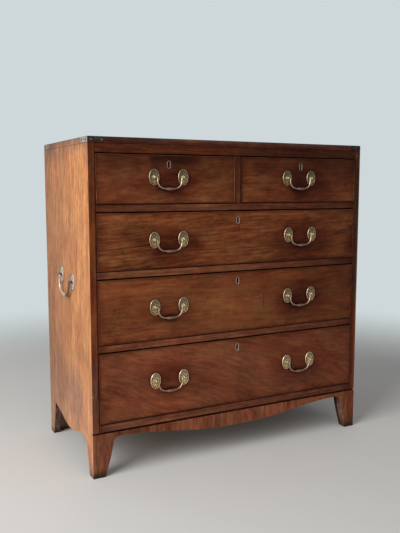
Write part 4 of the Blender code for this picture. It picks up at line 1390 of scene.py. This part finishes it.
@dataclass
class Drawer:
    """One drawer: its figured front, oak lining, keyhole ring, lock and nuts."""

    name: str
    finish: WoodFinish
    handles: tuple[str, ...]
    ease: float = 0.0007
    shortest: float = 0.010
    bead_w: float = 0.0031
    bead_depth: float = 0.004
    front_t: float = 0.020
    keyhole_w: float = 0.0125
    keyhole_h: float = 0.0245
    keyhole_drop: float = 0.0314
    keyhole_steps: int = 12
    ring_wall: float = 0.0022
    ring_depth: float = 0.006
    ring_gap: float = 0.0002
    ring_round: float = 0.0003
    ring_proud: float = 0.0004
    plug_sunk: float = 0.0022
    key_slit: float = 0.0024
    run_top: float = 0.0024
    inside_gap: float = 0.0004
    lock_half_w: float = 0.036
    lock_t: float = 0.006
    case_drops: tuple[float, float] = (0.048, 0.002)
    case_ease: float = 0.0008
    plate_reach: float = 0.013
    plate_drops: tuple[float, float] = (0.0015, -0.0002)
    plate_ease: float = 0.0003
    nut_half: float = 0.0048
    nut_t: float = 0.0036
    nut_ease: float = 0.0006

    def build(self) -> None:
        """Make every piece of the drawer."""
        self.wood()
        self.keyhole_ring()
        self.lock()
        self.nuts()

    @property
    def inside(self) -> float:
        """Place back of the front's inner face, with a gap for what stands on it."""
        return FRONT_Y + self.front_t + self.inside_gap

    def wood(self) -> None:
        """Finish the front with its bead, and the oak sides, back and bottom."""
        low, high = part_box(f"{self.name}_front")

        def end_inset(middle: Vector) -> float:
            """Measure how far a face lies from the nearer end."""
            return min(middle.x - low.x, high.x - middle.x)

        def is_bead(middle: Vector, normal: Vector) -> bool:
            """Tell whether a face belongs to the bead round the front."""
            inset = min(end_inset(middle), middle.z - low.z, high.z - middle.z)
            return middle.y < FRONT_Y + self.bead_depth and inset < self.bead_w

        def is_bottom_bead(middle: Vector, normal: Vector) -> bool:
            """Tell whether a face belongs to the bead along the bottom."""
            return is_bead(middle, normal) and middle.z - low.z < self.bead_w

        def is_top_bead(middle: Vector, normal: Vector) -> bool:
            """Tell whether a face belongs to the bead along the top."""
            return is_bead(middle, normal) and high.z - middle.z < self.bead_w

        def is_top_edge(middle: Vector, normal: Vector) -> bool:
            """Tell whether a face is the front's upper edge or its rounding."""
            return normal.z > SLANTED and middle.z > high.z - 2 * self.ease

        def is_end_edge(middle: Vector, normal: Vector) -> bool:
            """Tell whether a face is the rounding of an upright edge."""
            return SLANTED < abs(normal.x) < SQUARE and end_inset(middle) < self.ease

        def is_raw(middle: Vector, normal: Vector) -> bool:
            """Tell whether a face lies behind the polished front."""
            return middle.y > FRONT_Y + FACE_TOLERANCE

        rules = [(is_top_edge, SHADED_BEAD), (is_end_edge, SHADED_BEAD), (is_bottom_bead, SHADED_BEAD),
                 (is_top_bead, TOP_BEAD), (is_bead, BEAD), (is_raw, RAW_MAHOGANY)]
        softened(f"{self.name}_front", self.ease, self.shortest, rules, self.finish)
        softened(f"{self.name}_box", self.ease, self.shortest, [], OAK)
        softened(f"{self.name}_bottom", self.ease, self.shortest, [], OAK_BOTTOM)

    def keyhole(self) -> Vector:
        """Middle of the keyhole on the drawer's front."""
        low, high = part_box(f"{self.name}_front")
        return Vector(((low.x + high.x) / 2, FRONT_Y, high.z + self.run_top - self.keyhole_drop))

    def keyhole_ring(self) -> None:
        """Line the keyhole with a thin brass ring, just proud of the wood, round a plug with a key slit."""
        half_w, half_h = self.keyhole_w / 2, self.keyhole_h / 2
        gap, wall, proud = self.ring_gap, self.ring_wall, self.ring_proud
        section = ((gap, -self.ring_depth), (gap, 0.0), (gap + self.ring_round, proud),
                   (wall - self.ring_round, proud), (wall, 0.0), (wall, -self.ring_depth))
        outlines = [upright_slot(half_w - inset, half_h - inset, self.keyhole_steps) for inset, _ in section]
        rings = [[(x, -level, z) for (x, z), (_, level) in zip(points, section)] for points in zip(*outlines)]
        place = Matrix.Translation(self.keyhole())
        row = self.name.split("_")[0]
        finish = RING_BRASS.toned(row, RING_TONES[row])
        show(f"{self.name}_keyhole_ring", loft("keyhole_ring", rings, closed=True), finish, self.name, place)
        # The plug is near black: painted shade inside the keyhole
        plug = split_plate("keyhole_plug", outlines[-1], self.key_slit, -self.ring_depth, -self.plug_sunk)
        show(f"{self.name}_keyhole_plug", plug, SHADED_KEYHOLE_PLUG, self.name, place)

    def lock(self) -> None:
        """Set a steel lock on the inside of the front, with its plate along the top edge."""
        place = self.keyhole()
        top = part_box(f"{self.name}_front")[1].z - place.z
        matrix = Matrix.Translation((place.x, 0.0, place.z))
        for part, reach, drops, ease in (("case", 0.0, self.case_drops, self.case_ease),
                                         ("plate", self.plate_reach, self.plate_drops, self.plate_ease)):
            low = (-self.lock_half_w, self.inside - reach, top - drops[0])
            high = (self.lock_half_w, self.inside + self.lock_t, top - drops[1])
            mesh = eased_block(f"lock_{part}", low, high, ease)
            show(f"{self.name}_lock_{part}", mesh, LOCK_STEEL, self.name, matrix)

    def nuts(self) -> None:
        """Put a square nut on every post shank inside the drawer."""
        low = (-self.nut_half, self.inside, -self.nut_half)
        high = (self.nut_half, self.inside + self.nut_t, self.nut_half)
        for handle in self.handles:
            for end in ("left", "right"):
                middle = BailHandle.middle(f"{handle}_rose_{end}")
                matrix = Matrix.Translation((middle.x, 0.0, middle.z))
                nut = eased_block("nut", low, high, self.nut_ease)
                show(f"{handle}_nut_{end}", nut, BRASS, self.name, matrix)


@dataclass
class CornerStraps:
    """The four brass corner straps, let in flush, with slotted screws."""

    ease: float = 0.0003
    shortest: float = 0.0005
    screw_r: float = 0.0034
    screw_sides: int = 20
    screw_slit: float = 0.0009
    screw_sunk: float = -0.0002
    screw_proud: float = 0.0003
    front_screws: tuple[float, float] = (0.0110, 0.0435)
    side_screws: tuple[float, float] = (0.0160, 0.0500)
    front_turn: float = 0.5
    side_turn: float = 1.1
    body: str = "carcass"

    def build(self) -> None:
        """Finish the straps and drive their screws."""
        for row, end in (("front", -1), ("back", 1)):
            for column, side in (("left", -1), ("right", 1)):
                node = f"strap_{row}_{column}"
                side_leg = PALE_STRAP if row == "front" else BROWN_STRAP
                softened(node, self.ease, self.shortest, [(self.is_side_leg, side_leg)], STRAP_BRASS)
                low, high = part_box(node)
                up = (low.z + high.z) / 2
                face = FRONT_Y if end < 0 else BACK_Y
                for i, inset in enumerate(self.front_screws):
                    place = Vector((side * (OUTER_X - inset), face, up))
                    self.screw(f"{node}_screw_{i + 1}", place, 0.0 if end < 0 else pi, self.front_turn + i)
                for i, inset in enumerate(self.side_screws):
                    place = Vector((side * OUTER_X, face - end * inset, up))
                    self.screw(f"{node}_side_screw_{i + 1}", place, side * pi / 2, self.side_turn + i)

    @staticmethod
    def is_side_leg(middle: Vector, normal: Vector) -> bool:
        """Tell whether a face of a strap looks out of the chest's side."""
        return abs(normal.x) > FACING

    def screw(self, name: str, place: Vector, turn: float, slit_turn: float) -> None:
        """Drive one slotted screw; those on the right have gone as dark as the straps.

        Args:
            name: the screw's name.
            place: middle of its head on the strap's face.
            turn: turn about Z that makes it face outward.
            slit_turn: how far the slit is turned.
        """
        outline = [(x, z) for x, _, z in oval(self.screw_r, self.screw_r, 0.0, self.screw_sides)]
        head = split_plate("screw", outline, self.screw_slit, self.screw_sunk, self.screw_proud)
        facing = Matrix.Rotation(turn, 4, "Z") @ Matrix.Rotation(slit_turn, 4, "Y")
        finish = SCREW_BRASS if place.x < 0 else STRAP_BRASS
        show(name, head, finish, self.body, Matrix.Translation(place) @ facing)


@dataclass(frozen=True)
class Lamp:
    """A square soft light: its place, what it points at, its side and its power in watts."""

    name: str
    place: Point
    target: Point
    size: float
    power: float

    def hang(self) -> None:
        """Hang the light in the scene."""
        data = bpy.data.lights.new(self.name, "AREA")
        data.size = self.size
        data.energy = self.power
        lamp = bpy.data.objects.new(self.name, data)
        lamp.location = self.place
        lamp.rotation_euler = (Vector(self.target) - Vector(self.place)).to_track_quat("-Z", "Y").to_euler()
        bpy.context.scene.collection.objects.link(lamp)


@dataclass
class Studio:
    """The camera, the plain pale floor and the soft light."""

    frame_w: int = 400
    frame_h: int = 533
    focal_px: float = 668.02
    sensor: float = 36.0
    yaw: float = 27.674
    pitch: float = -6.700
    eye: Point = (-1.1098, -2.0802, 0.8723)
    floor_reach: float = 5.0
    floor_fade: tuple[float, float] = (1.2, 2.8)
    floor_colour: Colour = (0.60, 0.585, 0.56)
    floor_shade: float = 0.96
    floor_roughness: float = 0.85
    floor_gloss: float = 0.1
    backdrop: Colour = (0.62, 0.68, 0.70)
    soft_colour: Colour = (0.94, 0.97, 1.0)
    soft_strength: float = 0.36
    lamps: tuple[Lamp, ...] = (
        Lamp("key_light", (-3.4, -1.3, 2.3), (0.0, 0.0, 0.55), 2.6, 185.0),
        Lamp("fill_light", (-0.4, -4.4, 2.4), (0.0, 0.0, 0.5), 3.0, 34.0))

    def build(self) -> None:
        """Make the camera, the floor, the world and the lamps."""
        self.camera()
        self.floor()
        self.world()
        for lamp in self.lamps:
            lamp.hang()
        bpy.context.scene.view_settings.view_transform = "Standard"

    def camera(self) -> None:
        """Stand the camera where the photograph was taken from."""
        data = bpy.data.cameras.new("camera")
        data.sensor_width = self.sensor
        data.lens = self.focal_px / max(self.frame_w, self.frame_h) * self.sensor
        camera = bpy.data.objects.new("camera", data)
        camera.location = self.eye
        camera.rotation_euler = (radians(90 + self.pitch), 0.0, -radians(self.yaw))
        bpy.context.scene.collection.objects.link(camera)
        bpy.context.scene.camera = camera

    def floor(self) -> None:
        """Lay a plain pale floor that fades into the backdrop."""
        reach = self.floor_reach
        mesh = bpy.data.meshes.new("floor")
        corners = [(-reach, -reach, 0.0), (reach, -reach, 0.0), (reach, reach, 0.0), (-reach, reach, 0.0)]
        mesh.from_pydata(corners, [], [(0, 1, 2, 3)])
        shade, shader, place = new_material("pale_floor")
        mottle = shade.noise(place, FLOOR_CELLS, detail=4.0)
        shadier = tuple(self.floor_shade * part for part in self.floor_colour)
        shade.join(shader, {
            "Base Color": shade.mix(mottle, paint(shadier), paint(self.floor_colour)),
            "Roughness": self.floor_roughness, "Specular IOR Level": self.floor_gloss,
            "Alpha": shade.spread(shade.vector("LENGTH", place), *self.floor_fade, 1.0, 0.0)})
        mesh.materials.append(bpy.data.materials["pale_floor"])
        floor = bpy.data.objects.new("floor", mesh)
        bpy.context.scene.collection.objects.link(floor)

    def world(self) -> None:
        """Surround the chest with soft pale light, and show the camera a plain pale backdrop."""
        world = bpy.data.worlds.new("studio")
        world.use_nodes = True
        bpy.context.scene.world = world
        shade = Shade(world.node_tree)
        light = {"Color": paint(self.soft_colour), "Strength": self.soft_strength}
        soft = shade.join(world.node_tree.nodes["Background"], light)[0]
        seen = shade.join(shade.add("ShaderNodeBackground"), {"Color": paint(self.backdrop)})[0]
        rays = shade.add("ShaderNodeLightPath").outputs
        plain = shade.sum("ADD", rays["Is Camera Ray"], rays["Is Transmission Ray"], clamp=True)
        mixed = shade.join(shade.add("ShaderNodeMixShader"), {0: plain, 1: soft, 2: seen})[0]
        shade.join(world.node_tree.nodes["World Output"], {"Surface": mixed})


# Figure of each drawer front, from the top row down
FIGURES: dict[str, dict] = {
    "top_left_drawer": {
        "seed": 2.3, "streak": 0.6, "stretch": 7.0, "cloud": 1.2, "clouds": 9.0, "mottle": 0.9},
    "top_right_drawer": {
        "seed": 4.9, "streak": 0.7, "stretch": 9.0, "cloud": 1.2, "clouds": 9.0, "mottle": 0.9,
        "mid": (0.146, 0.0410, 0.0150)},
    "upper_drawer": {
        "seed": 6.1, "streak": 1.25, "stretch": 15.0, "lines": 210.0, "cloud": 0.7, "slant": radians(3),
        "mid": (0.136, 0.0378, 0.0120)},
    "middle_drawer": {
        "seed": 7.7, "streak": 0.7, "stretch": 11.0, "cloud": 1.2, "ripple": 0.25, "lines": 170.0,
        "mottle": 0.8, "mid": (0.148, 0.0428, 0.0148)},
    "lower_drawer": {
        "seed": 9.2, "streak": 0.75, "stretch": 12.0, "cloud": 1.2, "warp": 0.17, "lines": 170.0,
        "mottle": 0.8, "slant": radians(-17), "mid": (0.145, 0.0400, 0.0182), "light": (0.240, 0.083, 0.036)}}

# Marks on the drawer fronts
FRONT_MARKS: dict[str, tuple[Mark, ...]] = {
    "top_left_drawer": (
        (-0.235, 0.890, 0.150, 0.090, 0.95, SHADOW), (-0.245, 0.895, 0.075, 0.060, 0.55, DEEP),
        (-0.215, 0.962, 0.130, 0.036, 0.90, DEEP), (-0.250, 0.850, 0.080, 0.025, 0.60, SHADOW),
        (-0.351, 0.944, 0.036, 0.036, 0.55, SHADOW), (-0.306, 0.845, 0.050, 0.030, 0.60, OLIVE),
        (-0.405, 0.890, 0.110, 0.090, 0.20, SHADOW), (-0.467, 0.945, 0.024, 0.050, 0.70, GLOW),
        (-0.461, 0.966, 0.024, 0.012, 0.90, GREYED), (-0.285, 0.950, 0.036, 0.030, 0.70, SHADOW),
        (-0.070, 0.858, 0.070, 0.030, 0.40, SHADOW)),
    "top_right_drawer": (
        (0.285, 0.890, 0.145, 0.140, 0.95, SHADOW), (0.234, 0.889, 0.050, 0.034, 0.60, DEEP),
        (0.080, 0.880, 0.110, 0.090, 0.90, GLOW), (0.430, 0.860, 0.090, 0.045, 0.70, GLOW),
        (0.032, 0.915, 0.046, 0.070, 0.90, GLOW), (0.245, 0.852, 0.070, 0.024, 0.60, DEEP),
        (0.110, 0.844, 0.060, 0.026, 0.60, GLOW)),
    "upper_drawer": (
        (-0.245, 0.697, 0.160, 0.095, 0.95, SHADOW), (-0.270, 0.662, 0.060, 0.024, 0.55, SHADOW),
        (0.250, 0.692, 0.190, 0.115, 1.00, SHADOW), (0.478, 0.685, 0.060, 0.100, 0.75, DEEP),
        (-0.240, 0.784, 0.180, 0.036, 0.85, GLOW), (0.220, 0.786, 0.140, 0.026, 0.60, GLOW),
        (-0.470, 0.710, 0.040, 0.130, 0.70, (0.66, 0.62, 0.66)), (-0.165, 0.702, 0.045, 0.045, 0.70, SHADOW),
        (-0.397, 0.682, 0.006, 0.006, 0.80, DEEP), (0.004, 0.747, 0.008, 0.020, 0.50, SHADOW)),
    "middle_drawer": (
        (-0.245, 0.498, 0.140, 0.085, 0.70, SHADOW), (0.250, 0.490, 0.180, 0.105, 0.90, SHADOW),
        (0.245, 0.485, 0.070, 0.060, 0.50, DEEP), (0.470, 0.570, 0.100, 0.080, 0.50, SHADOW),
        (-0.270, 0.575, 0.220, 0.050, 0.50, GLOW), (-0.030, 0.480, 0.160, 0.070, 0.65, GLOW),
        (-0.410, 0.525, 0.080, 0.050, 0.35, SHADOW), (-0.330, 0.428, 0.170, 0.040, 0.60, GLOW),
        (0.435, 0.525, 0.050, 0.050, 0.50, SHADOW), (0.220, 0.580, 0.120, 0.032, 0.70, GLOW),
        (-0.110, 0.524, 0.008, 0.008, 0.70, DEEP), (0.101, 0.490, 0.0022, 0.034, 0.90, DEEP),
        (0.091, 0.519, 0.008, 0.0022, 0.90, PALE_WEAR_AND_HIGHLIGHT), (-0.427, 0.509, 0.006, 0.006, 0.70, DEEP)),
    "lower_drawer": (
        (-0.270, 0.285, 0.140, 0.080, 0.75, SHADOW), (0.250, 0.260, 0.160, 0.090, 0.60, SHADOW),
        (-0.260, 0.185, 0.200, 0.036, 0.65, GLOW), (0.330, 0.184, 0.150, 0.036, 0.75, GLOW),
        (0.225, 0.344, 0.060, 0.024, 0.70, GLOW), (0.020, 0.270, 0.036, 0.110, 0.45, (0.72, 0.66, 0.76)),
        (0.165, 0.250, 0.060, 0.120, 0.35, SHADOW), (-0.120, 0.205, 0.220, 0.050, 0.45, GLOW),
        (-0.373, 0.352, 0.060, 0.014, 0.60, GLOW), (0.400, 0.260, 0.150, 0.110, 0.95, GLOW))}

# Soil and painted shadow round the roses and along the bails, as half width, half height and strength
ROSE_SOIL_AND_SHADOW = (0.030, 0.038, 0.85)
BAIL_SOIL_AND_SHADOW = (0.060, 0.018, 0.75)
BAIL_DROP = 0.036


def handle_marks(stem: str) -> list[Mark]:
    """Mark the dark soil and painted shadow on the wood behind one handle.

    Args:
        stem: start of the names of the handle's pieces.

    Returns:
        A mark round each rose and one along the bail.
    """
    roses = [BailHandle.middle(f"{stem}_rose_{end}") for end in ("left", "right")]
    marks = [(rose.x, rose.z, *ROSE_SOIL_AND_SHADOW, DEEP) for rose in roses]
    middle = (roses[0] + roses[1]) / 2
    marks.append((middle.x, middle.z - BAIL_DROP, *BAIL_SOIL_AND_SHADOW, DEEP))
    return marks


def drawers() -> list[Drawer]:
    """List the drawers from the top row down, each with its own figure and marks.

    Returns:
        The drawers.
    """
    found = []
    for name, figure in FIGURES.items():
        stems = (name,) if name.startswith("top") else (f"{name}_left", f"{name}_right")
        soil_and_shade = [mark for stem in stems for mark in handle_marks(stem)]
        low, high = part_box(f"{name}_front")
        finish = replace(DRAWER_FRONT, name=f"figured_front_{name}", border=Border(tuple(low), tuple(high)),
                         stains=on_front(*FRONT_MARKS[name], *soil_and_shade), **figure)
        found.append(Drawer(name, finish, stems))
    return found


def handles(fitted: Iterable[Drawer]) -> list[BailHandle]:
    """List every bail handle, eight on the drawers and two for lifting.

    Args:
        fitted: the drawers.

    Returns:
        The handles.
    """
    found = []
    for drawer in fitted:
        pattern = row_pattern(drawer.name.split("_")[0])
        for stem in drawer.handles:
            found.append(BailHandle(f"{stem}_bail", (f"{stem}_rose_left", f"{stem}_rose_right"), pattern))
    for side in ("left", "right"):
        roses = (f"{side}_lift_rose_back", f"{side}_lift_rose_front")
        found.append(BailHandle(f"{side}_lift_bail", roses, LIFT_PATTERN))
    return found


def main() -> None:
    """Build the chest's looks, then the studio round it."""
    logging.basicConfig(level=logging.INFO, format="%(message)s")
    Carcass().build()
    fitted = drawers()
    for drawer in fitted:
        drawer.build()
    for handle in handles(fitted):
        handle.build()
    CornerStraps().build()
    Studio().build()


if __name__ == "__main__":
    main()
